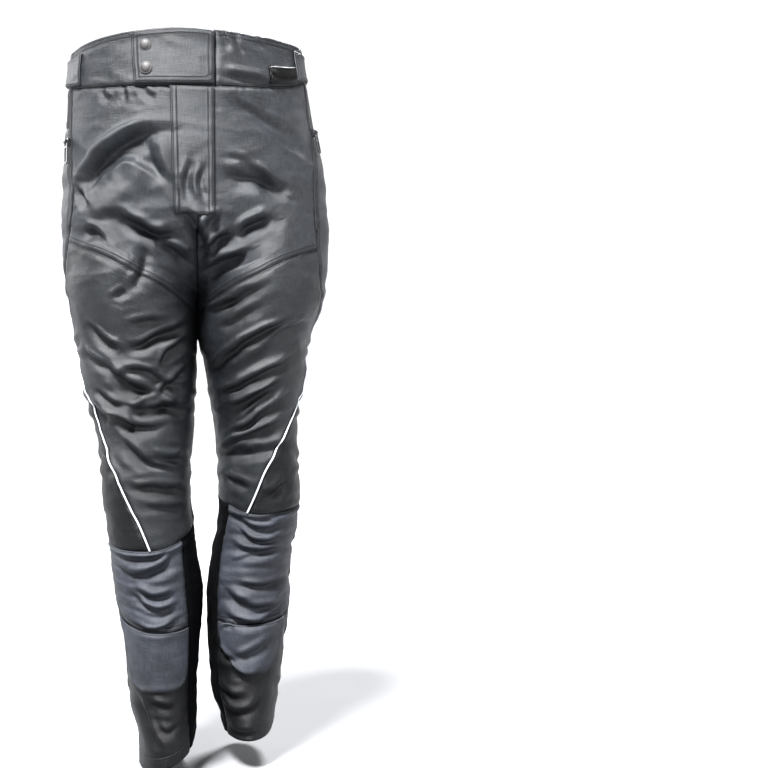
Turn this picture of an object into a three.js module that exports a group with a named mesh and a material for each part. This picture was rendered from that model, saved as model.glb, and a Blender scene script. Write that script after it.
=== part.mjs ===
import * as THREE from "three";

// Riding trousers in the form they keep when worn: hollow, standing, open at the waist and at both hems.
// Millimetres, +Z up, the front faces -Y and the wearer's right is -X.
// The origin is the middle of the waistband, where the wearer's waist holds the garment.

// Driving sizes
const CLOTH = 2; // coated outer cloth with its bonded mesh lining
const PATCH = 1.6; // a second layer sewn on top
const SEAM_GAP = 0.3;
const LAYER_GAP = 0.6;
const CROTCH_Z = -316; // below this the cloth is two separate legs
const HIPS_Z = -200; // above this it is one tube
const CROTCH_FOOT_Z = -340; // down to here the two halves are sewn together
const SEAM_REACH = 24; // how far from the centre seam a fold goes straight back
const RIBS = 17;
const RIB_HEIGHT = 1.3;
const SNAP_RADIUS = 8.5;
const PIPING_HALF = 1.3;
const BAND_PROUD = 0.6; // the waistband is thicker than the cloth it is sewn to
const BAND = 3;
const STRAP = 2.2;
const ZIP_FOOT_Z = -222;
const SLIDER_LIFT = 1.9;
const SLIDER = { wide: 5, long: 11, thick: 3, eye: 2.9, hole: 1.5, hingeUp: 4.9 };
const PULL = { wide: 9.4, long: 32, thick: 1.6, bar: 1.6, slot: 5.8 };
const RIGHT = -1;
const LEFT = 1;

// Sections of the seat: where the centre seam stands, half the width, and the depth in front and behind.
const SEAT_SECTIONS = [
  { z: 60, mid: -13, half: 158, front: 106, back: 108 },
  { z: 13, mid: -12, half: 162, front: 108, back: 112 },
  { z: -26, mid: -10, half: 168, front: 111, back: 119 },
  { z: -72, mid: -7, half: 173, front: 114, back: 128 },
  { z: -101, mid: -4, half: 178, front: 116, back: 133 },
  { z: -143, mid: -2, half: 183, front: 118, back: 137 },
  { z: -219, mid: 0, half: 187, front: 117, back: 135 },
  { z: -253, mid: 0, half: 187, front: 113, back: 129 },
  { z: -301, mid: 0, half: 183, front: 106, back: 120 },
  { z: -420, mid: 0, half: 165, front: 96, back: 108 },
];

// Sections of each leg: how far out its middle stands, half its width, how far back it stands, half its depth.
const LEG_SECTIONS = {
  [RIGHT]: [
    { z: -290, out: 91.4, half: 90.9, y: 0, depth: 110 },
    { z: -327, out: 88.3, half: 87.7, y: 0, depth: 105 },
    { z: -381, out: 83.6, half: 82.9, y: -1, depth: 97 },
    { z: -459, out: 78.5, half: 75, y: -5, depth: 86 },
    { z: -506, out: 72, half: 66, y: -9, depth: 80 },
    { z: -548, out: 71.5, half: 62, y: -13, depth: 76 },
    { z: -600, out: 69, half: 60, y: -17, depth: 72 },
    { z: -650, out: 62.5, half: 58.5, y: -19, depth: 72 },
    { z: -719, out: 53.5, half: 60.5, y: -15, depth: 77 },
    { z: -754, out: 50, half: 57, y: -13, depth: 79 },
    { z: -801, out: 48, half: 50.5, y: -12, depth: 79 },
    { z: -866, out: 47.5, half: 46.5, y: -13, depth: 79 },
    { z: -919, out: 41, half: 39.5, y: -16, depth: 80 },
    { z: -965, out: 41, half: 38.5, y: -18, depth: 80 },
  ],
  [LEFT]: [
    { z: -290, out: 91.4, half: 90.9, y: 0, depth: 110 },
    { z: -327, out: 88.3, half: 87.7, y: 0, depth: 105 },
    { z: -371, out: 79.5, half: 78.6, y: 0, depth: 98 },
    { z: -419, out: 83.5, half: 71, y: 1, depth: 91 },
    { z: -456, out: 82, half: 65, y: 2, depth: 86 },
    { z: -506, out: 83.5, half: 58, y: 3, depth: 79 },
    { z: -568, out: 87, half: 58, y: 3, depth: 74 },
    { z: -622, out: 86.5, half: 57, y: 5, depth: 71 },
    { z: -680, out: 76, half: 57, y: 9, depth: 74 },
    { z: -743, out: 72, half: 59, y: 13, depth: 78 },
    { z: -807, out: 69, half: 54, y: 16, depth: 79 },
    { z: -875, out: 68, half: 47, y: 17, depth: 79 },
    { z: -909, out: 71, half: 38.5, y: 18, depth: 80 },
    { z: -965, out: 71, half: 36, y: 18, depth: 80 },
  ],
};

// Edges and seams that run round the body. turn is the angle round a leg's middle, in degrees:
// 0 at the outer side, 90 at the front, 180 at the inseam and -90 at the back.
const WAIST_TOP = {
  [RIGHT]: [
    { turn: 130, z: 39 },
    { turn: 100, z: 33 },
    { turn: 60, z: 26 },
    { turn: 20, z: 20 },
    { turn: 0, z: 19 },
    { turn: -60, z: 25 },
    { turn: -125, z: 31 },
  ],
  [LEFT]: [
    { turn: 130, z: 39 },
    { turn: 100, z: 37 },
    { turn: 60, z: 37 },
    { turn: 20, z: 39 },
    { turn: 0, z: 38 },
    { turn: -60, z: 35 },
    { turn: -125, z: 31 },
  ],
};
const WAIST_SEAM = {
  [RIGHT]: [
    { turn: 130, z: -40 },
    { turn: 90, z: -40 },
    { turn: 60, z: -38 },
    { turn: 30, z: -32 },
    { turn: 10, z: -27 },
    { turn: -30, z: -20 },
    { turn: -90, z: -14 },
    { turn: -125, z: -14 },
  ],
  [LEFT]: [
    { turn: 130, z: -40 },
    { turn: 90, z: -33 },
    { turn: 60, z: -25 },
    { turn: 30, z: -12 },
    { turn: 10, z: -7 },
    { turn: -30, z: -9 },
    { turn: -90, z: -13 },
    { turn: -125, z: -14 },
  ],
};
const RIBBED_FOOT = [
  { turn: 20, z: -84 },
  { turn: -30, z: -86 },
  { turn: -90, z: -98 },
  { turn: -125, z: -103 },
];
const YOKE_SEAM = [
  { turn: 180, z: -338 },
  { turn: 145, z: -326 },
  { turn: 105, z: -296 },
  { turn: 72, z: -266 },
  { turn: 30, z: -244 },
];
const KNEE_SEAM = {
  [RIGHT]: [
    { turn: 180, z: -632 },
    { turn: 140, z: -644 },
    { turn: 90, z: -660 },
    { turn: 12, z: -650 },
    { turn: -40, z: -612 },
    { turn: -120, z: -592 },
    { turn: -180, z: -592 },
  ],
  [LEFT]: [
    { turn: 180, z: -597 },
    { turn: 140, z: -603 },
    { turn: 90, z: -616 },
    { turn: 12, z: -606 },
    { turn: -40, z: -596 },
    { turn: -120, z: -590 },
    { turn: -180, z: -590 },
  ],
};
const KNEE_FOOT = {
  [RIGHT]: [
    { turn: 140, z: -762 },
    { turn: 90, z: -770 },
    { turn: 50, z: -762 },
    { turn: 12, z: -744 },
  ],
  [LEFT]: [
    { turn: 140, z: -763 },
    { turn: 90, z: -768 },
    { turn: 50, z: -763 },
    { turn: 12, z: -752 },
  ],
};
const GUSSET_Z = -335;
const SWEEP_JOIN_Z = -378; // where the grey panel's inner seam reaches the inseam
const CALF_TOP_Z = -668;
const HEM = {
  [RIGHT]: { level: -935, outerDrop: 22, frontDrop: 15 },
  [LEFT]: { level: -913, outerDrop: -2, frontDrop: 16 },
};

// Seams that run down the body, as the turn at each height.
const OUTSEAM = {
  [RIGHT]: [
    { z: -20, turn: 25 },
    { z: -84, turn: 27 },
    { z: -143, turn: 31 },
    { z: -192, turn: 33 },
    { z: -247, turn: 26 },
    { z: -281, turn: 19 },
    { z: -331, turn: 16 },
    { z: -372, turn: 7.4 },
    { z: -390, turn: 8 },
    { z: -441, turn: 24 },
    { z: -475, turn: 33 },
    { z: -503, turn: 38 },
    { z: -533, turn: 50 },
    { z: -562, turn: 60 },
    { z: -594, turn: 71 },
    { z: -625, turn: 81 },
    { z: -665, turn: 90 },
  ],
  [LEFT]: [
    { z: -20, turn: 25 },
    { z: -84, turn: 29 },
    { z: -143, turn: 36 },
    { z: -199, turn: 38 },
    { z: -247, turn: 36 },
    { z: -297, turn: 31 },
    { z: -349, turn: 15 },
    { z: -372, turn: 7.4 },
    { z: -390, turn: 8 },
    { z: -422, turn: 22 },
    { z: -447, turn: 24 },
    { z: -473, turn: 41 },
    { z: -513, turn: 64 },
    { z: -554, turn: 85 },
    { z: -586, turn: 96 },
    { z: -620, turn: 108 },
  ],
};
const STRIP_FOOT_Z = -372; // here the side strip's two seams have run together
const PIPING_START = { turn: -27, z: -180 };
const PIPING_BEND_Z = -208;
const PIPING_SEAM = [
  { z: PIPING_BEND_Z, turn: -8 },
  { z: -235, turn: -2 },
  { z: -270, turn: 0 },
  { z: -325, turn: 2 },
  { z: -372, turn: 5.4 },
  { z: -385, turn: 6.5 },
];
const SWEEP_OUTER = [
  { z: -80, turn: -14 },
  { z: -180, turn: -27 },
  { z: -238, turn: -32 },
  { z: -344, turn: -34 },
  { z: -380, turn: -40 },
  { z: -424, turn: -62 },
  { z: -455, turn: -72 },
  { z: -490, turn: -84 },
  { z: -525, turn: -101 },
  { z: -556, turn: -113 },
  { z: -595, turn: -124 },
];
const SWEEP_INNER = [
  { z: -80, turn: -72 },
  { z: -150, turn: -66 },
  { z: -200, turn: -65 },
  { z: -240, turn: -71 },
  { z: -275, turn: -83 },
  { z: -305, turn: -101 },
  { z: -335, turn: -127 },
  { z: -360, turn: -156 },
  { z: -378, turn: -176 },
];
const CALF_CORNER_Z = -690; // where the calf seam turns to run down
const CALF_SEAM = [
  { z: CALF_CORNER_Z, turn: -46 },
  { z: -703, turn: -60 },
  { z: -737, turn: -68 },
  { z: -812, turn: -79 },
  { z: -960, turn: -86 },
];
const SHIN_INNER = {
  [RIGHT]: [
    { z: -600, turn: 137 },
    { z: -650, turn: 130 },
    { z: -700, turn: 125 },
    { z: -764, turn: 123 },
    { z: -860, turn: 124 },
    { z: -960, turn: 121 },
  ],
  [LEFT]: [
    { z: -600, turn: 136 },
    { z: -650, turn: 138 },
    { z: -707, turn: 135 },
    { z: -764, turn: 132 },
    { z: -860, turn: 128 },
    { z: -960, turn: 124 },
  ],
};
const SHIN_OUTER_TURN = 12;
const CALF_INNER_TURN = -125;

// The largest folds. Each runs in elevation from (x1, z1) to (x2, z2) on the front or back; rise bows its
// middle upwards, wide is its half width, and deep is a trough's depth, less than 0 for a ridge.
const FOLDS = [
  { face: "front", x1: -152, z1: -186, x2: -62, z2: -108, rise: 4, wide: 17, deep: 7 },
  { face: "front", x1: -150, z1: -214, x2: -66, z2: -156, rise: 0, wide: 18, deep: -4 },
  { face: "front", x1: -150, z1: -240, x2: -82, z2: -238, rise: 22, wide: 13, deep: 6 },
  { face: "front", x1: -100, z1: -226, x2: -22, z2: -254, rise: 6, wide: 12, deep: 6 },
  { face: "front", x1: -10, z1: -250, x2: -4, z2: -290, rise: 0, wide: 13, deep: 6 },
  { face: "front", x1: -108, z1: -326, x2: -70, z2: -268, rise: 0, wide: 12, deep: 4 },
  { face: "front", x1: -95, z1: -396, x2: -26, z2: -362, rise: 6, wide: 13, deep: 5 },
  { face: "front", x1: -150, z1: -350, x2: -108, z2: -398, rise: 0, wide: 12, deep: 4 },
  { face: "front", x1: -128, z1: -446, x2: -40, z2: -424, rise: -8, wide: 13, deep: 4 },
  { face: "front", x1: -110, z1: -500, x2: -30, z2: -478, rise: 0, wide: 12, deep: 4 },
  { face: "front", x1: 48, z1: -144, x2: 124, z2: -188, rise: 10, wide: 17, deep: 6 },
  { face: "front", x1: 52, z1: -66, x2: 140, z2: -112, rise: 8, wide: 15, deep: 3 },
  { face: "front", x1: 14, z1: -262, x2: 100, z2: -222, rise: 16, wide: 12, deep: 6 },
  { face: "front", x1: 10, z1: -292, x2: 70, z2: -266, rise: 4, wide: 12, deep: 5 },
  { face: "front", x1: 24, z1: -440, x2: 138, z2: -366, rise: 0, wide: 12, deep: 5 },
  { face: "front", x1: 30, z1: -494, x2: 132, z2: -424, rise: 0, wide: 12, deep: 5 },
  { face: "front", x1: 36, z1: -556, x2: 118, z2: -486, rise: 0, wide: 12, deep: 4 },
  { face: "front", x1: -86, z1: -868, x2: -22, z2: -902, rise: 0, wide: 13, deep: 4 },
  { face: "front", x1: 40, z1: -836, x2: 100, z2: -828, rise: -18, wide: 13, deep: 4 },
  { face: "back", x1: 122, z1: -196, x2: 38, z2: -276, rise: -8, wide: 15, deep: 7 },
  { face: "back", x1: 160, z1: -274, x2: 52, z2: -292, rise: 0, wide: 15, deep: 6 },
  { face: "back", x1: 138, z1: -410, x2: 22, z2: -418, rise: 0, wide: 12, deep: 7 },
  { face: "back", x1: 128, z1: -346, x2: 52, z2: -372, rise: 0, wide: 13, deep: 4 },
  { face: "back", x1: -24, z1: -290, x2: -112, z2: -318, rise: 16, wide: 14, deep: 6 },
  { face: "back", x1: -48, z1: -408, x2: -130, z2: -398, rise: 0, wide: 13, deep: 5 },
  { face: "back", x1: -30, z1: -452, x2: -120, z2: -444, rise: 0, wide: 12, deep: 5 },
  { face: "back", x1: 120, z1: -470, x2: 40, z2: -500, rise: 0, wide: 13, deep: 4 },
  { face: "back", x1: -40, z1: -520, x2: -120, z2: -512, rise: 0, wide: 12, deep: 5 },
  { face: "back", x1: -60, z1: -590, x2: -125, z2: -580, rise: 0, wide: 12, deep: 4 },
  { face: "back", x1: 40, z1: -700, x2: 60, z2: -880, rise: 0, wide: 14, deep: 3 },
];

const CLOTHS = {
  black: new THREE.MeshStandardMaterial({ color: 0x34383e, roughness: 0.62, metalness: 0 }),
  grey: new THREE.MeshStandardMaterial({ color: 0x6b7078, roughness: 0.66, metalness: 0 }),
  matte: new THREE.MeshStandardMaterial({ color: 0x17181b, roughness: 0.9, metalness: 0 }),
  calf: new THREE.MeshStandardMaterial({ color: 0x24262b, roughness: 0.85, metalness: 0 }),
  ribbed: new THREE.MeshStandardMaterial({ color: 0x1d1e22, roughness: 0.8, metalness: 0 }),
  loop: new THREE.MeshStandardMaterial({ color: 0x1b1c20, roughness: 1, metalness: 0 }),
  piping: new THREE.MeshStandardMaterial({ color: 0xd9dade, roughness: 0.35, metalness: 0 }),
  snap: new THREE.MeshStandardMaterial({ color: 0x8d8f94, roughness: 0.35, metalness: 0.9 }),
  zip: new THREE.MeshStandardMaterial({ color: 0x101113, roughness: 0.5, metalness: 0 }),
};

const degrees = (angle) => (angle * Math.PI) / 180;
const mix = (a, b, share) => a + (b - a) * share;
const clamp = (value, low, high) => Math.min(Math.max(value, low), high);
const ease = (share) => {
  const s = clamp(share, 0, 1);
  return s * s * (3 - 2 * s);
};

// A smooth curve through a table's rows, which run from the highest key to the lowest.
function read(rows, key, column, at) {
  const last = rows.length - 1;
  if (at >= rows[0][key]) return rows[0][column];
  if (at <= rows[last][key]) return rows[last][column];
  let i = 0;
  while (rows[i + 1][key] > at) i++;
  const slope = (k) => {
    const before = rows[Math.max(k - 1, 0)];
    const after = rows[Math.min(k + 1, last)];
    return (after[column] - before[column]) / (after[key] - before[key]);
  };
  const span = rows[i + 1][key] - rows[i][key];
  const t = (at - rows[i][key]) / span;
  return (
    rows[i][column] * (2 * t ** 3 - 3 * t ** 2 + 1) +
    span * slope(i) * (t ** 3 - 2 * t ** 2 + t) +
    rows[i + 1][column] * (3 * t ** 2 - 2 * t ** 3) +
    span * slope(i + 1) * (t ** 3 - t ** 2)
  );
}

// How far the section at this height is the seat's single tube, from 0 in the legs to 1 at the hips.
const tubeShare = (z) => ease((z - CROTCH_Z) / (HIPS_Z - CROTCH_Z));

// From a leg's middle to the cloth in one direction. The seat is an ellipse about the centre seam.
function radius(side, turn, z) {
  const leg = LEG_SECTIONS[side];
  const c = Math.cos(degrees(turn));
  const s = Math.sin(degrees(turn));
  const out = read(leg, "z", "out", z);
  const round = 1 / Math.hypot(c / read(leg, "z", "half", z), s / read(leg, "z", "depth", z));
  const share = tubeShare(z);
  if (share === 0) return round;
  const half = read(SEAT_SECTIONS, "z", "half", z);
  const depth = read(SEAT_SECTIONS, "z", s > 0 ? "front" : "back", z);
  const a = (c / half) ** 2 + (s / depth) ** 2;
  const b = (out * c) / half ** 2;
  const seat = (-b + Math.sqrt(b * b - a * ((out / half) ** 2 - 1))) / a;
  return mix(round, seat, share);
}

// The plain cloth before folds, as a point.
function plain(side, turn, z) {
  const leg = LEG_SECTIONS[side];
  const r = radius(side, turn, z);
  const across = read(leg, "z", "out", z) + r * Math.cos(degrees(turn));
  return new THREE.Vector3(
    read(SEAT_SECTIONS, "z", "mid", z) + side * across,
    read(leg, "z", "y", z) - r * Math.sin(degrees(turn)),
    z,
  );
}

function outward(side, turn, z) {
  const round = plain(side, turn + 1, z).sub(plain(side, turn - 1, z));
  const rise = plain(side, turn, z + 2).sub(plain(side, turn, z - 2));
  return round.cross(rise).multiplyScalar(-side).normalize();
}

// How deep the folds are at a point of the plain cloth.
function foldDepth(point, normal) {
  let depth = 0;
  for (const fold of FOLDS) {
    const facing = ease((fold.face === "front" ? -normal.y : normal.y) * 1.6);
    if (facing === 0) continue;
    const run = { x: fold.x2 - fold.x1, z: fold.z2 - fold.z1 };
    const long = Math.hypot(run.x, run.z);
    const along = ((point.x - fold.x1) * run.x + (point.z - fold.z1) * run.z) / long ** 2;
    const t = clamp(along, 0, 1);
    const middle = { x: fold.x1 + t * run.x, z: fold.z1 + t * run.z + 4 * t * (1 - t) * fold.rise };
    const off = Math.hypot(point.x - middle.x, point.z - middle.z) / fold.wide;
    depth += facing * fold.deep * Math.exp(-off * off) * (0.35 + 0.65 * ease(4 * t * (1 - t)));
  }
  return depth;
}

// A point of the folded cloth, lifted off it by some distance. Folds at the centre seam go straight back,
// so that the two halves stay together.
function cloth(side, turn, z, lift = 0) {
  const point = plain(side, turn, z);
  const normal = outward(side, turn, z);
  const depth = foldDepth(point, normal);
  const fromSeam = side * (point.x - read(SEAT_SECTIONS, "z", "mid", z));
  const free = Math.max(ease(fromSeam / SEAM_REACH), ease((CROTCH_FOOT_Z - z) / SEAM_REACH));
  const inward = new THREE.Vector3(normal.x * free, normal.y, normal.z);
  return point.addScaledVector(normal, lift).addScaledVector(inward, -depth);
}

// The turn at which the cloth reaches a distance from the centre seam, on the front (1) or the back (-1).
function turnAt(side, across, z, face) {
  const reach = (turn) => {
    const out = read(LEG_SECTIONS[side], "z", "out", z);
    return out + radius(side, turn * face, z) * Math.cos(degrees(turn));
  };
  if (reach(180) >= across) return 180 * face;
  let low = 0;
  let high = 180;
  for (let i = 0; i < 30; i++) {
    const middle = (low + high) / 2;
    if (reach(middle) > across) low = middle;
    else high = middle;
  }
  return low * face;
}

const centreFront = (side) => (z) => turnAt(side, 0, z, 1);
const centreBack = (side) => (z) => turnAt(side, 0, z, -1);
const seam = (rows) => (z) => read(rows, "z", "turn", z);
const level = (rows) => (turn) => read(rows, "turn", "z", turn);
const hemLevel = (side) => (turn) => {
  const { level: base, outerDrop, frontDrop } = HEM[side];
  const c = Math.cos(degrees(turn));
  return base - outerDrop * c - frontDrop * (1 - c * c);
};

// The height at which a seam that runs down meets an edge that runs round.
function meet(downSeam, edge, from) {
  let z = from;
  for (let i = 0; i < 30; i++) z = mix(z, edge(downSeam(z)), 0.7);
  return z;
}

// Points along a path in turn and height, evenly spaced on the cloth.
function evenly(side, path, steps) {
  const fine = 160;
  const marks = [{ at: path(0), long: 0 }];
  let before = plain(side, ...path(0));
  for (let i = 1; i <= fine; i++) {
    const at = path(i / fine);
    const here = plain(side, ...at);
    marks.push({ at, long: marks[i - 1].long + here.distanceTo(before) });
    before = here;
  }
  const total = marks[fine].long;
  return Array.from({ length: steps + 1 }, (_, k) => {
    const want = (total * k) / steps;
    const i = Math.max(1, marks.findIndex((m) => m.long >= want - 1e-9));
    const share = (want - marks[i - 1].long) / (marks[i].long - marks[i - 1].long);
    return marks[i - 1].at.map((value, c) => mix(value, marks[i].at[c], share));
  });
}
const down = (side, downSeam, top, foot, steps) =>
  evenly(side, (t) => [downSeam(mix(top, foot, t)), mix(top, foot, t)], steps);
const round = (side, edge, from, to, steps) =>
  evenly(side, (t) => [mix(from, to, t), edge(mix(from, to, t))], steps);
const straight = (side, from, to, steps) =>
  evenly(side, (t) => [mix(from[0], to[0], t), mix(from[1], to[1], t)], steps);

// A list of points as a curve from 0 to 1.
const curveOf = (points) => (t) => {
  const at = clamp(t, 0, 1) * (points.length - 1);
  const i = Math.min(Math.floor(at), points.length - 2);
  return points[i].map((value, c) => mix(value, points[i + 1][c], at - i));
};

// A closed solid from two grids of the same size: the outside and the inside of a wall.
function wall(outside, inside) {
  const rows = outside.length;
  const columns = outside[0].length;
  const points = [...outside.flat(), ...inside.flat()];
  const index = (layer, row, column) => layer * rows * columns + row * columns + column;
  const faces = [];
  const quad = (a, b, c, d) => faces.push(a, b, c, a, c, d);
  for (let r = 0; r < rows - 1; r++)
    for (let c = 0; c < columns - 1; c++) {
      quad(index(0, r, c), index(0, r, c + 1), index(0, r + 1, c + 1), index(0, r + 1, c));
      quad(index(1, r, c), index(1, r + 1, c), index(1, r + 1, c + 1), index(1, r, c + 1));
    }
  for (let c = 0; c < columns - 1; c++)
    for (const [r, from, to] of [[0, c + 1, c], [rows - 1, c, c + 1]])
      quad(index(0, r, from), index(0, r, to), index(1, r, to), index(1, r, from));
  for (let r = 0; r < rows - 1; r++)
    for (const [c, from, to] of [[0, r, r + 1], [columns - 1, r + 1, r]])
      quad(index(0, from, c), index(0, to, c), index(1, to, c), index(1, from, c));
  let volume = 0;
  for (let i = 0; i < faces.length; i += 3) {
    const [a, b, c] = [0, 1, 2].map((k) => points[faces[i + k]]);
    volume += a.dot(b.clone().cross(c));
  }
  if (volume < 0) faces.reverse();
  return new THREE.BufferGeometry()
    .setAttribute("position", new THREE.Float32BufferAttribute(points.flatMap((p) => [p.x, p.y, p.z]), 3))
    .setIndex(faces);
}

const garment = new THREE.Group();
function add(name, geometry, material) {
  const mesh = new THREE.Mesh(geometry, material);
  mesh.name = name;
  garment.add(mesh);
  return mesh;
}

// How far an edge point of a panel moves into the panel, at right angles to its seam.
function seamShift(grid, row, column) {
  const rows = grid.length - 1;
  const columns = grid[0].length - 1;
  const point = grid[row][column];
  const shift = new THREE.Vector3();
  const draw = (before, after, neighbour) => {
    const along = after.clone().sub(before).normalize();
    const inward = neighbour.clone().sub(point);
    inward.addScaledVector(along, -inward.dot(along));
    shift.addScaledVector(inward.normalize(), SEAM_GAP / 2);
  };
  const upDown = (c) => [grid[Math.max(row - 1, 0)][c], grid[Math.min(row + 1, rows)][c]];
  const sideways = (r) => [grid[r][Math.max(column - 1, 0)], grid[r][Math.min(column + 1, columns)]];
  if (column === 0) draw(...upDown(0), grid[row][1]);
  if (column === columns) draw(...upDown(columns), grid[row][columns - 1]);
  if (row === 0) draw(...sideways(0), grid[1][column]);
  if (row === rows) draw(...sideways(rows), grid[rows - 1][column]);
  return shift;
}

// A wall of cloth over a grid of places, each a side, a turn and a height. relief lowers the outside only.
// It gives back the outside points, for what is sewn on top.
function lay(name, material, places, { thick = CLOTH, lift = 0, relief = () => 0, wave = () => 0 } = {}) {
  const rows = places.length - 1;
  const columns = places[0].length - 1;
  const seated = places.map((row) => row.map((place) => plain(...place)));
  const outside = [];
  const inside = [];
  for (let row = 0; row <= rows; row++) {
    outside.push([]);
    inside.push([]);
    for (let column = 0; column <= columns; column++) {
      const push = lift + wave(column / columns, row / rows);
      const shift = seamShift(seated, row, column);
      const place = places[row][column];
      outside[row].push(cloth(...place, push - relief(column / columns, row / rows)).add(shift));
      inside[row].push(cloth(...place, push - thick).add(shift));
    }
  }
  add(name, wall(outside, inside), material);
  return outside;
}

// A panel between four seams, each a list of turns and heights. left and right run down and hold the rows;
// top and foot run from left to right and hold the columns.
function panel(name, material, { side, left, right, top, foot, ...options }) {
  const rows = left.length - 1;
  const columns = top.length - 1;
  const [l, r, t, f] = [left, right, top, foot].map(curveOf);
  const at = (across, along) =>
    [0, 1].map(
      (c) =>
        mix(l(along)[c], r(along)[c], across) +
        (1 - along) * (t(across)[c] - mix(l(0)[c], r(0)[c], across)) +
        along * (f(across)[c] - mix(l(1)[c], r(1)[c], across)),
    );
  const places = left.map((_, row) => top.map((_, column) => [side, ...at(column / columns, row / rows)]));
  return lay(name, material, places, options);
}

// The direction out of the front at each point of a grid of outside points, by its neighbours.
function normalsOf(grid) {
  return grid.map((row, r) =>
    row.map((point, c) => {
      const across = row[Math.min(c + 1, row.length - 1)].clone().sub(row[Math.max(c - 1, 0)]);
      const along = grid[Math.min(r + 1, grid.length - 1)][c].clone().sub(grid[Math.max(r - 1, 0)][c]);
      const normal = across.cross(along).normalize();
      return normal.y > 0 ? normal.negate() : normal;
    }),
  );
}

// A layer sewn on top of a grid of outside points of the front.
function layer(name, material, grid, thick, gap) {
  const normals = normalsOf(grid);
  const moved = (distance) =>
    grid.map((row, r) => row.map((point, c) => point.clone().addScaledVector(normals[r][c], distance)));
  add(name, wall(moved(gap + thick), moved(gap)), material);
}

// A point of a grid at any fraction of its rows and columns.
function between(grid, row, column) {
  const r = clamp(Math.floor(row), 0, grid.length - 2);
  const c = clamp(Math.floor(column), 0, grid[0].length - 2);
  const upper = grid[r][c].clone().lerp(grid[r][c + 1], column - c);
  const lower = grid[r + 1][c].clone().lerp(grid[r + 1][c + 1], column - c);
  return upper.lerp(lower, row - r);
}

// A narrow strip along a line of points: a flat-topped bead that stands on the cloth.
function strip(name, material, line, normals, half, height, gap = SEAM_GAP) {
  const outside = [];
  const inside = [];
  line.forEach((point, i) => {
    const along = line[Math.min(i + 1, line.length - 1)].clone().sub(line[Math.max(i - 1, 0)]).normalize();
    const across = along.cross(normals[i]).normalize();
    const place = (side, lift) =>
      point.clone().addScaledVector(across, side * half).addScaledVector(normals[i], lift);
    outside.push([place(-0.7, gap + height), place(0, gap + height), place(0.7, gap + height)]);
    inside.push([place(-1, gap), place(0, gap), place(1, gap)]);
  });
  add(name, wall(outside, inside), material);
}

const join = (first, ...rest) => [...first, ...rest.flatMap((points) => points.slice(1))];
const everySecond = (points) => points.filter((_, i) => i % 2 === 0);

// Gathers that pucker a stretch panel crosswise and die out towards its seams.
const gathers = (count, height) => (across, along) =>
  height * Math.sin(2 * Math.PI * count * along) * (0.1 + 0.9 * Math.sin(Math.PI * clamp(across, 0, 1)));

const KNEE_ROWS = 20;
const SHIN_ROWS = 8;

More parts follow.
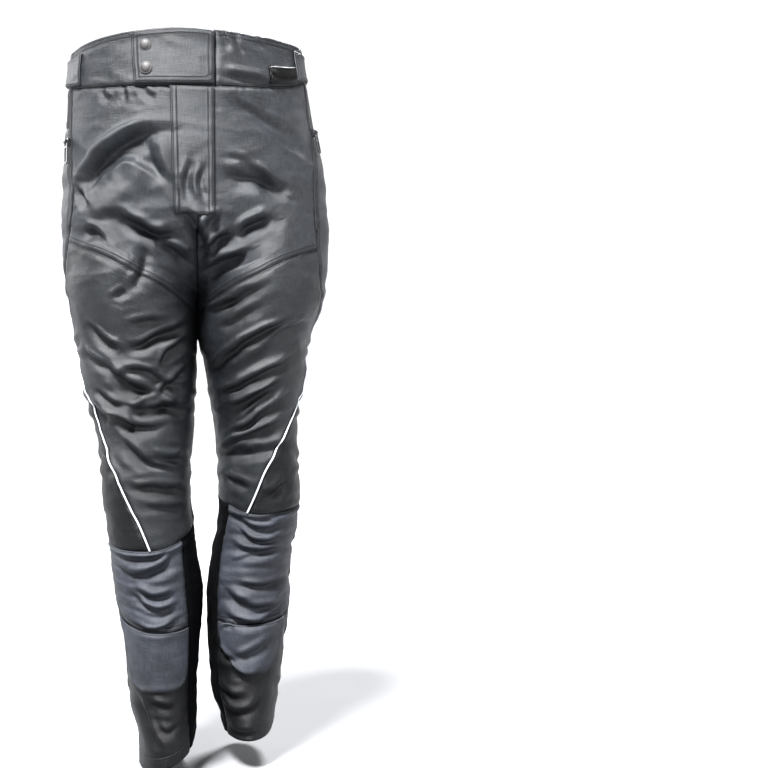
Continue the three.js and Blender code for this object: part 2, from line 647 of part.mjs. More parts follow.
function addHalf(side, word) {
  const outseam = seam(OUTSEAM[side]);
  const waist = level(WAIST_SEAM[side]);
  const ribbed = level(RIBBED_FOOT);
  const yoke = level(YOKE_SEAM);
  const knee = level(KNEE_SEAM[side]);
  const kneeFoot = level(KNEE_FOOT[side]);
  const hem = hemLevel(side);
  const sweepOuter = seam(SWEEP_OUTER);
  const sweepInner = seam(SWEEP_INNER);
  const shinInner = seam(SHIN_INNER[side]);
  const piping = seam(PIPING_SEAM);
  const calfSeam = seam(CALF_SEAM);
  const front = centreFront(side);
  const back = centreBack(side);
  const fixed = (turn) => () => turn;
  const flat = (z) => () => z;
  const at = {
    waist: meet(outseam, waist, -30),
    ribbed: meet(outseam, ribbed, -84),
    yoke: meet(outseam, yoke, -250),
    knee: meet(outseam, knee, -650),
    sweepTop: meet(sweepOuter, ribbed, -90),
    seatTop: meet(sweepInner, ribbed, -95),
    frontTop: meet(front, waist, -40),
    backWaist: meet(back, waist, -14),
    backTop: meet(back, ribbed, -103),
    kneeInner: meet(shinInner, knee, -650),
    kneeInnerFoot: meet(shinInner, kneeFoot, -760),
    hemInner: meet(shinInner, hem, -930),
    hemCalf: meet(calfSeam, hem, -930),
  };

  // Lines shared by neighbours
  const outseamWaist = down(side, outseam, at.waist, at.ribbed, 2);
  const outseamHip = down(side, outseam, at.ribbed, at.yoke, 7);
  const outseamStrip = down(side, outseam, at.yoke, STRIP_FOOT_Z, 7);
  const stripEnds = [outseam, piping].map((edge) => [edge(STRIP_FOOT_Z), STRIP_FOOT_Z]);
  const stripFoot = straight(side, ...stripEnds, 3);
  const outseamThigh = down(side, outseam, STRIP_FOOT_Z, at.knee, 10);
  const start = [PIPING_START.turn, PIPING_START.z];
  const bend = [piping(PIPING_BEND_Z), PIPING_BEND_Z];
  const pipingTop = (steps) => straight(side, start, bend, steps);
  const pipingDown = down(side, piping, PIPING_BEND_Z, STRIP_FOOT_Z, 7);
  const sweepTop = down(side, sweepOuter, at.sweepTop, PIPING_START.z, 4);
  const sweepEdge = down(side, sweepOuter, PIPING_START.z, knee(CALF_INNER_TURN) + 12, 17);
  const sweepEnd = join(sweepEdge, [sweepEdge.at(-1), [CALF_INNER_TURN, knee(CALF_INNER_TURN)]]);
  const sweepSeat = down(side, sweepInner, at.seatTop, GUSSET_Z, 9);
  const sweepGusset = down(side, sweepInner, GUSSET_Z, SWEEP_JOIN_Z, 2);
  const inseamThigh = down(side, fixed(-180), SWEEP_JOIN_Z, knee(-180), 11);
  const beside = turnAt(side, side === RIGHT ? 73 : 32, at.frontTop, 1); // the closure tab's edge
  const waistFront = join(
    round(side, waist, front(at.frontTop), beside, side === RIGHT ? 3 : 1),
    round(side, waist, beside, outseam(at.waist), side === RIGHT ? 5 : 7),
  );
  const waistBack = round(side, waist, outseam(at.waist), back(at.backWaist), 7);
  const ribbedSide = round(side, ribbed, outseam(at.ribbed), sweepOuter(at.sweepTop), 3);
  const ribbedSweep = round(side, ribbed, sweepOuter(at.sweepTop), sweepInner(at.seatTop), 5);
  const ribbedSeat = round(side, ribbed, sweepInner(at.seatTop), back(at.backTop), 5);
  const yokeLine = round(side, yoke, 180, outseam(at.yoke), 8);
  const gussetLine = round(side, flat(GUSSET_Z), sweepInner(GUSSET_Z), -180, 5);
  const kneeInseam = round(side, knee, 180, shinInner(at.kneeInner), 3);
  const kneeFront = round(side, knee, shinInner(at.kneeInner), outseam(at.knee), 5);
  const kneeOuter = round(side, knee, outseam(at.knee), SHIN_OUTER_TURN, 4);
  const kneeCalf = round(side, knee, SHIN_OUTER_TURN, CALF_INNER_TURN, 6);
  const kneeBack = round(side, knee, CALF_INNER_TURN, -180, 5);
  const shinLine = round(side, kneeFoot, shinInner(at.kneeInnerFoot), SHIN_OUTER_TURN, 9);
  const kneeInnerEdge = down(side, shinInner, at.kneeInner, at.kneeInnerFoot, KNEE_ROWS);
  const outerLine = fixed(SHIN_OUTER_TURN);
  const kneeOuterEdge = down(side, outerLine, knee(SHIN_OUTER_TURN), kneeFoot(SHIN_OUTER_TURN), KNEE_ROWS);
  const shinInnerEdge = down(side, shinInner, at.kneeInnerFoot, at.hemInner, SHIN_ROWS);
  const shinOuterEdge = down(side, outerLine, kneeFoot(SHIN_OUTER_TURN), hem(SHIN_OUTER_TURN), SHIN_ROWS);
  const calfFork = 2 * Math.round(kneeOuterEdge.findIndex(([, z]) => z <= CALF_TOP_Z) / 2);
  const forkAt = kneeOuterEdge[calfFork];
  const outerCalfEdge = join(everySecond(kneeOuterEdge.slice(calfFork)), everySecond(shinOuterEdge));
  const corner = [calfSeam(CALF_CORNER_Z), CALF_CORNER_Z];
  const calfTop = evenly(side, (t) => [mix(forkAt[0], corner[0], t), mix(forkAt[1], corner[1], t ** 1.6)], 5);
  const calfLine = down(side, calfSeam, CALF_CORNER_Z, at.hemCalf, outerCalfEdge.length - 1);
  const calfInnerEdge = down(side, fixed(CALF_INNER_TURN), knee(CALF_INNER_TURN), hem(CALF_INNER_TURN), 16);
  const wrap = (points) => points.map(([turn, z]) => [turn + 360, z]);

  const grids = { waistFront, waistBack, outseamWaist, outseamHip, outseamThigh, pipingTop, pipingDown };
  grids.front = panel(`front_upper_${word}`, CLOTHS.black, {
    side,
    left: down(side, front, at.frontTop, yoke(180), 9),
    right: join(outseamWaist, outseamHip),
    top: waistFront,
    foot: yokeLine,
  });
  panel(`thigh_front_${word}`, CLOTHS.black, {
    side,
    left: down(side, fixed(180), yoke(180), knee(180), 17),
    right: join(outseamStrip, outseamThigh),
    top: yokeLine,
    foot: join(kneeInseam, kneeFront),
  });
  panel(`side_strip_${word}`, CLOTHS.black, {
    side,
    left: join(outseamHip, outseamStrip),
    right: join(sweepTop, pipingTop(3), pipingDown),
    top: ribbedSide,
    foot: stripFoot,
  });
  panel(`outer_thigh_${word}`, CLOTHS.black, {
    side,
    left: join(pipingDown, [stripFoot[3], stripFoot[0]], outseamThigh),
    right: sweepEnd,
    top: [...pipingTop(10)].reverse(),
    foot: join(kneeOuter, kneeCalf),
  });
  panel(`sweep_${word}`, CLOTHS.grey, {
    side,
    left: join(sweepTop, sweepEnd),
    right: join(sweepSeat, sweepGusset, inseamThigh),
    top: ribbedSweep,
    foot: kneeBack,
  });
  panel(`seat_${word}`, CLOTHS.black, {
    side,
    left: sweepSeat,
    right: down(side, back, at.backTop, GUSSET_Z, 9),
    top: ribbedSeat,
    foot: gussetLine,
  });
  panel(`gusset_${word}`, CLOTHS.black, {
    side,
    left: sweepGusset,
    right: down(side, fixed(-180), GUSSET_Z, SWEEP_JOIN_Z, 2),
    top: gussetLine,
    foot: straight(side, [sweepInner(SWEEP_JOIN_Z), SWEEP_JOIN_Z], [-180, SWEEP_JOIN_Z], 5),
  });
  panel(`ribbed_back_${word}`, CLOTHS.ribbed, {
    side,
    left: down(side, outseam, at.waist, at.ribbed, RIBS * 2),
    right: down(side, back, at.backWaist, at.backTop, RIBS * 2),
    top: waistBack,
    foot: evenly(side, (t) => curveOf(join(ribbedSide, ribbedSweep, ribbedSeat))(t), 7),
    relief: (across, along) => RIB_HEIGHT * (0.5 + 0.5 * Math.cos(2 * Math.PI * RIBS * along)),
    thick: CLOTH + RIB_HEIGHT,
  });
  grids.knee = panel(`knee_${word}`, CLOTHS.grey, {
    side,
    left: kneeInnerEdge,
    right: kneeOuterEdge,
    top: join(kneeFront, kneeOuter),
    foot: shinLine,
    wave: gathers(side === RIGHT ? 6 : 7, 2.4),
  });
  grids.shin = panel(`shin_${word}`, CLOTHS.black, {
    side,
    left: shinInnerEdge,
    right: shinOuterEdge,
    top: shinLine,
    foot: round(side, hem, shinInner(at.hemInner), SHIN_OUTER_TURN, 9),
  });
  panel(`inner_leg_${word}`, CLOTHS.matte, {
    side,
    left: join(everySecond(kneeInnerEdge), shinInnerEdge),
    right: wrap(calfInnerEdge),
    top: join([...kneeInseam].reverse(), wrap([...kneeBack].reverse())),
    foot: round(side, hem, shinInner(at.hemInner), CALF_INNER_TURN + 360, 8),
  });
  panel(`calf_${word}`, CLOTHS.calf, {
    side,
    left: join(everySecond(kneeOuterEdge.slice(0, calfFork + 1)), calfTop, calfLine),
    right: calfInnerEdge,
    top: kneeCalf,
    foot: round(side, hem, calfSeam(at.hemCalf), CALF_INNER_TURN, 6),
  });
  grids.outerCalf = panel(`outer_calf_${word}`, CLOTHS.black, {
    side,
    left: outerCalfEdge,
    right: calfLine,
    top: calfTop,
    foot: round(side, hem, SHIN_OUTER_TURN, calfSeam(at.hemCalf), 5),
  });
  return grids;
}

// The waist ring's columns on one side, from the centre front to the centre back.
const ringOf = (seams) => join(seams.waistFront, seams.waistBack).map(([turn]) => turn);

// Places on the waistband: some columns, each a side and a turn, by heights given as shares from seam to top.
function bandPlaces(columns, shares) {
  return shares.map((share) =>
    columns.map(([side, turn]) => [
      side,
      turn,
      mix(level(WAIST_SEAM[side])(turn), level(WAIST_TOP[side])(turn), share),
    ]),
  );
}
const onSide = (side, turns) => turns.map((turn) => [side, turn]);

function addWaistband(halves) {
  const ring = { [RIGHT]: ringOf(halves[RIGHT]), [LEFT]: ringOf(halves[LEFT]) };
  const outseamAt = (side) => halves[side].waistFront.length - 1;
  const frontOf = (side) => ring[side].slice(0, outseamAt(side) + 1);
  const backOf = (side) => ring[side].slice(outseamAt(side));
  const shares = [1, 0.66, 0.33, 0];
  const band = { thick: BAND, lift: BAND_PROUD };
  const centre = [LEFT, ring[LEFT][0]];
  const tabEdge = [LEFT, ring[LEFT][1]];
  lay("waistband_front_right", CLOTHS.black,
    bandPlaces([tabEdge, centre, ...onSide(RIGHT, frontOf(RIGHT).slice(1))], shares), band);
  lay("waistband_front_left", CLOTHS.black, bandPlaces(onSide(LEFT, frontOf(LEFT).slice(1)), shares), band);
  const back = [...onSide(RIGHT, backOf(RIGHT)), ...onSide(LEFT, [...backOf(LEFT)].reverse()).slice(1)];
  lay("waistband_back", CLOTHS.black, bandPlaces(back, shares), band);

  const over = { thick: STRAP, lift: BAND_PROUD + LAYER_GAP + STRAP };
  const tab = [tabEdge, centre, ...onSide(RIGHT, ring[RIGHT].slice(1, 4))];
  lay("closure_tab", CLOTHS.black, bandPlaces(tab, [0.99, 0.66, 0.33, 0.02]), over);

  // A piece laid on one side of the waistband, between two turns and two shares of its height.
  const laid = (name, material, side, from, to, low, high) => {
    const turns = [from, ...ring[side].filter((turn) => turn < from - 0.5 && turn > to + 0.5), to];
    const heights = [high, mix(high, low, 0.5), low];
    return lay(name, material, bandPlaces(onSide(side, turns), heights), over);
  };
  laid("strap_right", CLOTHS.black, RIGHT, 46, -8, 0.04, 0.8);
  laid("strap_left", CLOTHS.black, LEFT, 42, -8, 0.06, 0.84);
  laid("strap_end_left", CLOTHS.loop, LEFT, 80, 43, 0.05, 0.42);
  laid("loop_patch_right", CLOTHS.loop, RIGHT, -12, -100, 0.08, 0.9);
  laid("loop_patch_left", CLOTHS.loop, LEFT, -12, -76, 0.08, 0.9);
}

// A closed solid of revolution about +Z from a profile of radius and height that starts and ends on the axis.
function turned(profile, steps) {
  const ringPoints = profile.slice(1, -1);
  const points = [0, 0, profile[0][1]];
  for (const [r, z] of ringPoints)
    for (let i = 0; i < steps; i++) {
      const angle = (2 * Math.PI * i) / steps;
      points.push(r * Math.cos(angle), r * Math.sin(angle), z);
    }
  points.push(0, 0, profile.at(-1)[1]);
  const at = (ring, i) => 1 + ring * steps + (i % steps);
  const tip = 1 + ringPoints.length * steps;
  const faces = [];
  for (let i = 0; i < steps; i++) {
    faces.push(0, at(0, i + 1), at(0, i));
    faces.push(tip, at(ringPoints.length - 1, i), at(ringPoints.length - 1, i + 1));
    for (let ring = 0; ring < ringPoints.length - 1; ring++) {
      faces.push(at(ring, i), at(ring, i + 1), at(ring + 1, i + 1));
      faces.push(at(ring, i), at(ring + 1, i + 1), at(ring + 1, i));
    }
  }
  return new THREE.BufferGeometry()
    .setAttribute("position", new THREE.Float32BufferAttribute(points, 3))
    .setIndex(faces);
}

function addSnaps() {
  const r = SNAP_RADIUS;
  const cap = [[0, 0], [r - 0.6, 0], [r, 0.7], [r - 0.5, 1.9], [r - 2.4, 2.7], [r - 5.5, 3.2], [0, 3.4]];
  for (const [name, z] of [["snap_upper", 13], ["snap_lower", -18]]) {
    const turn = turnAt(RIGHT, 56, z, 1);
    const lift = BAND_PROUD + LAYER_GAP + STRAP + SEAM_GAP;
    const mesh = add(name, turned(cap, 24), CLOTHS.snap);
    mesh.position.copy(cloth(RIGHT, turn, z, lift));
    mesh.quaternion.setFromUnitVectors(new THREE.Vector3(0, 0, 1), outward(RIGHT, turn, z));
  }
}

// The fly placket lies over both front panels, from the waist seam down to its bar tacks. Its rows and edges
// are counted in the rows and columns of those panels.
const FLY = { rows: [0.02, 1, 2, 3, 4, 4.3], right: 1, left: 1, leftFoot: 0.66 };
function addFly(halves) {
  const [r, l] = [halves[RIGHT].front, halves[LEFT].front];
  const foot = FLY.rows.at(-1);
  const grid = FLY.rows.map((row) => {
    const middle = between(r, row, 0).lerp(between(l, row, 0), 0.5);
    return [between(r, row, FLY.right), middle, between(l, row, mix(FLY.left, FLY.leftFoot, row / foot))];
  });
  layer("fly_placket", CLOTHS.black, grid, PATCH, 3 * LAYER_GAP);
}

// The shin patches lie on the shin panels: each row has its height and the turns of its two ends.
const SHIN_PATCHES = {
  [RIGHT]: [
    { z: -774, from: 121, to: 30 },
    { z: -790, from: 121, to: 32 },
    { z: -806, from: 121, to: 37 },
    { z: -822, from: 120, to: 43 },
    { z: -838, from: 116, to: 54 },
    { z: -849, from: 104, to: 70 },
  ],
  [LEFT]: [
    { z: -773, from: 127, to: 44 },
    { z: -786, from: 126, to: 44 },
    { z: -799, from: 121, to: 46 },
    { z: -812, from: 114, to: 51 },
    { z: -826, from: 104, to: 60 },
    { z: -838, from: 92, to: 71 },
  ],
};
function addShinPatch(side, word) {
  const columns = 9;
  const places = SHIN_PATCHES[side].map(({ z, from, to }) =>
    Array.from({ length: columns + 1 }, (_, c) => [side, mix(from, to, c / columns), z]),
  );
  lay(`shin_patch_${word}`, CLOTHS.grey, places, { thick: PATCH, lift: 2 * LAYER_GAP + PATCH });
}

function addPiping(side, word, seams) {
  const end = seams.outseamThigh.at(-1);
  const { pipingDown, outseamThigh } = seams;
  const places = [...seams.pipingTop(5), ...pipingDown.slice(1, -1), ...outseamThigh.slice(1, -1)];
  places[0] = [places[0][0] + 1.5, places[0][1] - 3];
  places.push([end[0] + 0.5, end[1] + 5]);
  const line = places.map((place) => cloth(side, ...place));
  const normals = places.map((place) => outward(side, ...place));
  strip(`piping_${word}`, CLOTHS.piping, line, normals, PIPING_HALF, 1.3, LAYER_GAP);
}

// A pocket zip: its tape over the side seam, a slider with an eye, and a long pull that hangs from the eye.
const SLIDER_STOP = { [RIGHT]: 1, [LEFT]: 0 }; // which point of the hip seam each slider has been drawn up to
function addZip(side, word, seams) {
  const down = join(seams.outseamWaist, seams.outseamHip).filter(([, z]) => z > ZIP_FOOT_Z);
  const places = [[down[0][0], down[0][1] - 4], ...down.slice(1)];
  const line = places.map((place) => cloth(side, ...place));
  const normals = places.map((place) => outward(side, ...place));
  strip(`zip_tape_${word}`, CLOTHS.zip, line, normals, 4, 1, SEAM_GAP);

  const [turn, z] = seams.outseamHip[SLIDER_STOP[side]];
  const normal = outward(side, turn, z);
  const below = cloth(side, seam(OUTSEAM[side])(z - 15), z - 15).sub(cloth(side, turn, z));
  const downward = below.addScaledVector(normal, -below.dot(normal)).normalize();
  const axis = downward.clone().cross(normal);
  const place = (mesh, lift) => {
    const frame = new THREE.Matrix4().makeBasis(axis.clone().negate(), downward.clone().negate(), normal);
    frame.setPosition(cloth(side, turn, z, lift));
    mesh.applyMatrix4(frame);
  };

  place(add(`zip_slider_${word}`, sliderGeometry(), CLOTHS.zip), SLIDER_LIFT);
  place(add(`zip_pull_${word}`, pullGeometry(), CLOTHS.zip), SLIDER_LIFT + SLIDER.hingeUp);
}

const arc = (x, y, r, from, to, steps) =>
  Array.from({ length: steps + 1 }, (_, i) => {
    const angle = mix(from, to, i / steps);
    return new THREE.Vector2(x + r * Math.cos(angle), y + r * Math.sin(angle));
  });

// A rectangle with round corners, hung from the middle of its top edge.
function rounded(top, wide, long, radius) {
  const x = wide / 2 - radius;
  const [high, low] = [top - radius, top - long + radius];
  const corners = [[x, high, 0], [-x, high, 90], [-x, low, 180], [x, low, 270]];
  return corners.flatMap(([cx, cy, from]) => arc(cx, cy, radius, degrees(from), degrees(from + 90), 3));
}

function cut(outline, holes, depth) {
  const shape = new THREE.Shape(outline);
  shape.holes = holes.map((points) => new THREE.Path(points));
  const solid = new THREE.ExtrudeGeometry(shape, { depth, bevelEnabled: false });
  return solid.translate(0, 0, -depth / 2);
}

// The slider's side view, cut from a bar: a flat body with a round eye on top.
function sliderGeometry() {
  const { wide, long, thick, eye, hole, hingeUp } = SLIDER;
  const meeting = Math.asin((hingeUp - thick) / eye);
  const outline = [
    new THREE.Vector2(-long / 2, 0),
    new THREE.Vector2(long / 2, 0),
    new THREE.Vector2(long / 2, thick),
    ...arc(0, hingeUp, eye, -meeting, Math.PI + meeting, 14),
    new THREE.Vector2(-long / 2, thick),
  ];
  const bore = arc(0, hingeUp, hole, 0, 2 * Math.PI, 14).slice(1);
  // the side view turned to the cloth's frame: x across, y up the tape, z out of the cloth
  const axes = [new THREE.Vector3(0, 1, 0), new THREE.Vector3(0, 0, 1), new THREE.Vector3(1, 0, 0)];
  return cut(outline, [bore], wide).applyMatrix4(new THREE.Matrix4().makeBasis(...axes));
}

// The pull: a flat loop with a slot for the eye, a cross bar and a long open window.
function pullGeometry() {
  const { wide, long, thick, bar, slot } = PULL;
  const eyeSlot = rounded(-bar / 2, slot, 5.4, 0.6);
  const window = rounded(-bar / 2 - 8, slot - 0.6, long - bar - 10.4, 2);
  return cut(rounded(bar / 2, wide, long, 2.6), [eyeSlot, window], thick);
}

const halves = { [RIGHT]: addHalf(RIGHT, "right"), [LEFT]: addHalf(LEFT, "left") };
addWaistband(halves);
addSnaps();
addFly(halves);
for (const [side, word] of [[RIGHT, "right"], [LEFT, "left"]]) {
  addShinPatch(side, word);
  addPiping(side, word, halves[side]);
  addZip(side, word, halves[side]);
}

export default garment;
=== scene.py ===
"""Motorcycle riding trousers, hollow and standing as they are when worn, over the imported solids."""

import math

import bpy
import numpy as np
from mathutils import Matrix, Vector, noise


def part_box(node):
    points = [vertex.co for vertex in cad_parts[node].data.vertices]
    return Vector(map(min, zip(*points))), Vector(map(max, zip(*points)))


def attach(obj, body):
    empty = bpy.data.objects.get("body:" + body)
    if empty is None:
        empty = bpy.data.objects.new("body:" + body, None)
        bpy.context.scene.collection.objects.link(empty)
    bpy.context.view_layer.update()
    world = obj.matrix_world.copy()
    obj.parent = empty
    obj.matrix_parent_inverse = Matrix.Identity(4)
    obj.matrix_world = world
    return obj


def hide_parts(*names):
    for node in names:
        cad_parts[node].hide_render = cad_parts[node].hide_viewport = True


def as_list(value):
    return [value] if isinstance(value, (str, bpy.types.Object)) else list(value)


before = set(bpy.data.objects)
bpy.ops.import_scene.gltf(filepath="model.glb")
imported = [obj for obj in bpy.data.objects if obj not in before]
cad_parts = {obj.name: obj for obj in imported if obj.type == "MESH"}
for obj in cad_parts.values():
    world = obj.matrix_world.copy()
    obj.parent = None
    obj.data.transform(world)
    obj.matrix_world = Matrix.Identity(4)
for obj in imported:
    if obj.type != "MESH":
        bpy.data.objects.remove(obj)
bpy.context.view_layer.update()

# Lengths are millimetres and turns are degrees. The wearer's right is -X and the front faces -Y. A turn is
# measured at a leg's middle: 0 is straight out to the side, 90 is the front and -90 the back.
MM = 0.001
RIGHT = -1
LEFT = 1
SIDES = ((RIGHT, "right"), (LEFT, "left"))
CROTCH_Z = -316
HIPS_Z = -200
CROTCH_FOOT_Z = -376  # the legs part below here
LEGS_MEET = 1.3  # how far each leg swells towards the other there
SEAM_REACH = 24  # how far from the centre seam a fold goes straight back
CLOTH = 1.9  # coated outer cloth with its bonded mesh lining
PATCH = 1.4
QUAD = 2.8  # the side of one quad of cloth
RIBS = 17
RIB_DEEP = 2.8
RIB_END = 0.035  # share of the panel's width in which its seams draw the ribs together
RIB_PULL = 0.012
RIB_PULLS = 3.3  # how often they come together and part again from top to foot
RIB_ROUND = 0.8
RIB_ROWS = 8  # quads in one rib
RIBS_FOLDED = 0.4  # the ribbed panel takes this much of the small folds
# The floor and the camera are in metres.
FLOOR_Z = -0.972
FLOOR_HALF = 6.0
CAMERA = {"place": (0, -1.700, -0.436), "turn": -8.97, "lens": 55.4}
# The white walls fade into the ceiling between these heights of the view's direction.
WALL_TOP = (0.32, 0.62)
CEILING_GLOW = 0.1
# Lamps: the direction that each shines from, its strength and the angle that it fills.
LAMPS = {
    "key": ((-1.0, -1.7, 3.4), 15.0, 14),
    "side_lamp": ((1.9, -1.6, 1.2), 1.6, 30),
    "back_key": ((1.0, 1.7, 3.4), 9.0, 14),
    "back_side": ((-1.9, 1.6, 1.2), 1.4, 30),
}
FINER = 8  # seam points for each one that the solids have
PATH_POINTS = 200
HALVINGS = 30
MEET_STEP = 0.7  # how far each step goes towards where two seams meet
FOLD_PIXEL = 1.34  # millimetres to one pixel of the photograph
FRONT_MIDDLE_PX = 195
BACK_MIDDLE_PX = ((60, 544), (250, 531), (350, 525), (768, 525))
PIXEL_ROW = 384
ROW_Z = -436
PIXEL_TALL = 1.36

SHIN_OUTER_TURN = 12
CALF_INNER_TURN = -125
GUSSET_Z = -335
SWEEP_JOIN_Z = -378
STRIP_FOOT_Z = -372
PIPING_START = (-27, -180)
PIPING_BEND_Z = -208
CALF_CORNER_Z = -690
CALF_TOP_Z = -668
ZIP_FOOT_Z = -222
# level of the hem, how much lower it is at the outer side, and in front and behind
HEM = {RIGHT: (-935, 22, 15), LEFT: (-913, -2, 16)}
ALL_ROUND = {"top": (2.5,), "foot": (2.5,), "left": (2.5,), "right": (2.5,)}
# How far in from each edge of a piece its rows of stitches run.
TOPSTITCHED = {
    "front_upper": {"foot": (2.0, 7.5), "top": (2.0,)},
    "thigh_front": {"top": (2.0,), "foot": (2.0,)},
    "side_strip": {"right": (2.0, 7.0), "left": (2.0, 7.0)},
    "outer_thigh": {"right": (2.0, 7.0)},
    "sweep": {"left": (2.0, 7.5), "right": (2.0, 7.5), "top": (2.0, 6.5)},
    "seat": {"right": (2.0, 7.0), "top": (2.0, 6.0), "left": (2.0,)},
    "gusset": {"top": (2.0, 6.0)},
    "ribbed_back": {"right": (3.0,)},
    "knee": {"top": (2.0,), "foot": (2.0, 6.5), "left": (2.0,), "right": (2.0,)},
    "shin": {"foot": (16.0,), "right": (2.0, 6.5), "left": (2.0,)},
    "inner_leg": {"foot": (16.0,)},
    "calf": {"foot": (16.0,), "top": (2.0,), "left": (2.0, 6.5)},
    "outer_calf": {"foot": (16.0,), "left": (2.0,)},
    "waistband_front": {"top": (2.5, 8.0), "foot": (2.5,)},
    "waistband_back": {"top": (2.5, 8.0), "foot": (2.5,)},
    "closure_tab": {"top": (3.0, 8.5), "foot": (3.0, 8.5), "left": (3.0, 8.5), "right": (3.0, 8.5)},
    "fly_placket": {"left": (2.5, 8.5), "right": (2.5, 8.5), "foot": (2.5,)},
    "strap": ALL_ROUND,
    "loop_patch": ALL_ROUND,
    "shin_patch": ALL_ROUND,
}
NO_ROW = 99.0  # further from a row of stitches than its groove reaches
GROOVE_DEEP = 0.5
# How far the colour is darkened in a stitch groove: painted shade.
GROOVE_SHADE = 0.8
GROOVE_HALF = (0.3, 1.3)  # where its side starts and where it ends
# The woven cloths: the clouds of dye and their share of the colour, the range of yarn that goes from dark to
# light, what the weave adds to that, how far a thick yarn stands out, the doubled yarns of a ripstop, and how
# much the roughness changes with the dye.
DYE = {"Scale": 16.0, "Detail": 3.0, "Roughness": 0.6}
DYE_SHARE = 0.3
YARN_RANGE = (0.38, 0.62)
WEAVE_SHARE = 0.2
YARN_RELIEF = 4.0
RIPSTOP = {"narrow": 14.0, "high": 1.6}
SHEEN_APART = 0.07
YARN_WIDE = 1.7  # drawn three times as thick as the real yarns, so that they show
YARN_LONG = 13.0
ALL_EDGES = ("left", "right", "top", "foot")
ABOVE_HEM = ("left", "right", "top")
SEAM_DEEP = 1.5
SEAM_HALF = 2.6
SEAM_SWELL = {"high": 0.5, "at": 8, "half": 4.5}
PUCKER = {"high": 0.9, "long": 6.5, "reach": 7}
KNEE_GATHERS = {RIGHT: 6, LEFT: 7}
KNEE_HIGH = 0.7
KNEE_ROWS = 72
KNEE_SAG = 0.045
KNEE_BETWEEN = 0.35  # the weaker rows between the strong ones
KNEE_ENDS = 0.1  # the share of a row's height that is left at the side seams
KNEE_FULL = 0.7
KNEE_ROLL = 2.0
KNEE_ROLL_AT = 0.045  # share of the way down
KNEE_ROLL_HALF = 0.02
TAB_EDGE = {RIGHT: 73, LEFT: 32}  # how far from the centre the closure tab ends, on the waist seam
TAB_STEPS = {RIGHT: (3, 5), LEFT: (1, 7)}

BAND = 3.0  # the waistband's two layers and what stiffens it
BAND_PROUD = 0.6
CENTRE_STEP = 1.2  # degrees short of the centre at which each side's columns end
LAYER_GAP = 0.6
SEAM_GAP = 0.3
STRAP = 2.2
BAND_TALL = 76
WAIST_MM_A_TURN = 2.2  # millimetres of waist to one degree of turn
LINE_STEP = 2.5
TAB_LEVELS = (0.02, 0.99)  # shares of the band's height
TURNED_EDGE = {"high": 0.5, "at": 5, "half": 3, "down": 0.9, "down_half": 1.6}
# What is sewn on the waistband: its side, the turns of its two ends, its foot and top as shares of the band's
# height, its finish and slot, and what it lies on.
BAND_LAYERS = (
    ("strap_right", RIGHT, 46, -8, 0.04, 0.8, "black", "black_nylon", "waistband_front_right"),
    ("strap_left", LEFT, 42, -8, 0.06, 0.84, "black", "black_nylon", "waistband_front_left"),
    ("strap_end_left", LEFT, 80, 43, 0.05, 0.42, "strap end", "hook_and_loop", "waistband_front_left"),
    ("loop_patch_right", RIGHT, -12, -100, 0.08, 0.9, "loop", "hook_and_loop", "waistband_back"),
    ("loop_patch_left", LEFT, -12, -76, 0.08, 0.9, "loop", "hook_and_loop", "waistband_back"),
)
FLY = {"top_z": -41, "foot_z": -211, "top_x": (-36, 22), "foot_x": (-31, 23)}
# The sizes over which a laid piece's edge is turned under.
TURNED_UNDER = {"tab": (106, 74), "placket": (58, 172), "patch": (120, 70)}
FLY_GRID = (56, 20)
PATCH_GRID = (28, 44)
PATCH_LEVEL = 0.2  # the share of a shin patch that the sagging knee seam doesn't bend
STITCH = {"long": 2.7, "pitch": 3.9, "half": 0.42, "high": 0.42}
COIL = {"long": 0.9, "pitch": 1.5, "half": 0.7, "high": 0.5}
COIL_OUT = 0.75  # each row of teeth: from the zip's middle, and above its tape
CORNER_LEFT = 0.6  # a row of stitches ends this share of its inset short of the corner
DASH_SUNK = 0.25
DASH_TOP = 0.55  # a stitch is narrower on top than where it enters the cloth
TAPE_PROFILE = ((4, 0), (4, 0.5), (1.7, 0.6), (0, 0.75), (-1.7, 0.6), (-4, 0.5), (-4, 0))
CORD_HALF = 1.35
CORD_HIGH = 1.5
SNAPS = (("snap_upper", 13), ("snap_lower", -18))
SNAP_ACROSS = 56
SNAP_PROFILE = (
    (8.5, -0.3), (8.5, 0.6), (8.2, 1.1), (7.6, 1.35), (7.0, 1.2), (6.6, 1.25), (6.1, 1.9), (5.2, 2.5),
    (3.8, 2.95), (2.0, 3.2), (0.6, 3.28),
)
# Each piece's cut: width and length in millimetres, and its area's share of that rectangle.
CUTS = {
    "front_upper": (276, 356, 0.54),
    "thigh_front": (278, 430, 0.56),
    "side_strip": (100, 312, 0.55),
    "outer_thigh": (262, 475, 0.41),
    "sweep": (230, 612, 0.42),
    "seat": (146, 306, 0.72),
    "gusset": (76, 84, 0.32),
    "ribbed_back": (262, 112, 1.0),
    "knee": (150, 140, 0.86),
    "knee_left": (152, 172, 0.86),
    "shin": (148, 190, 0.87),
    "inner_leg": (135, 342, 0.78),
    "calf": (165, 372, 0.48),
    "outer_calf": (145, 275, 0.62),
    "shin_patch": (122, 92, 0.7),
    "shin_patch_left": (110, 80, 0.66),
    "waistband_front_right": (216, 78, 0.88),
    "waistband_front_left": (156, 76, 0.84),
    "waistband_back": (490, 48, 0.93),
    "closure_tab": (112, 76, 0.96),
    "strap": (72, 44, 0.84),
    "strap_end": (56, 26, 0.9),
    "loop_patch": (113, 37, 0.96),
    "fly_placket": (60, 171, 0.97),
}

FRONT = "front"
BACK = "back"
OUTER = "outer"
INNER = "inner"
SLIDERS = [
    (np.array(low) + np.array(high)) / 2 / MM
    for low, high in (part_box("zip_slider_right"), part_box("zip_slider_left"))
]

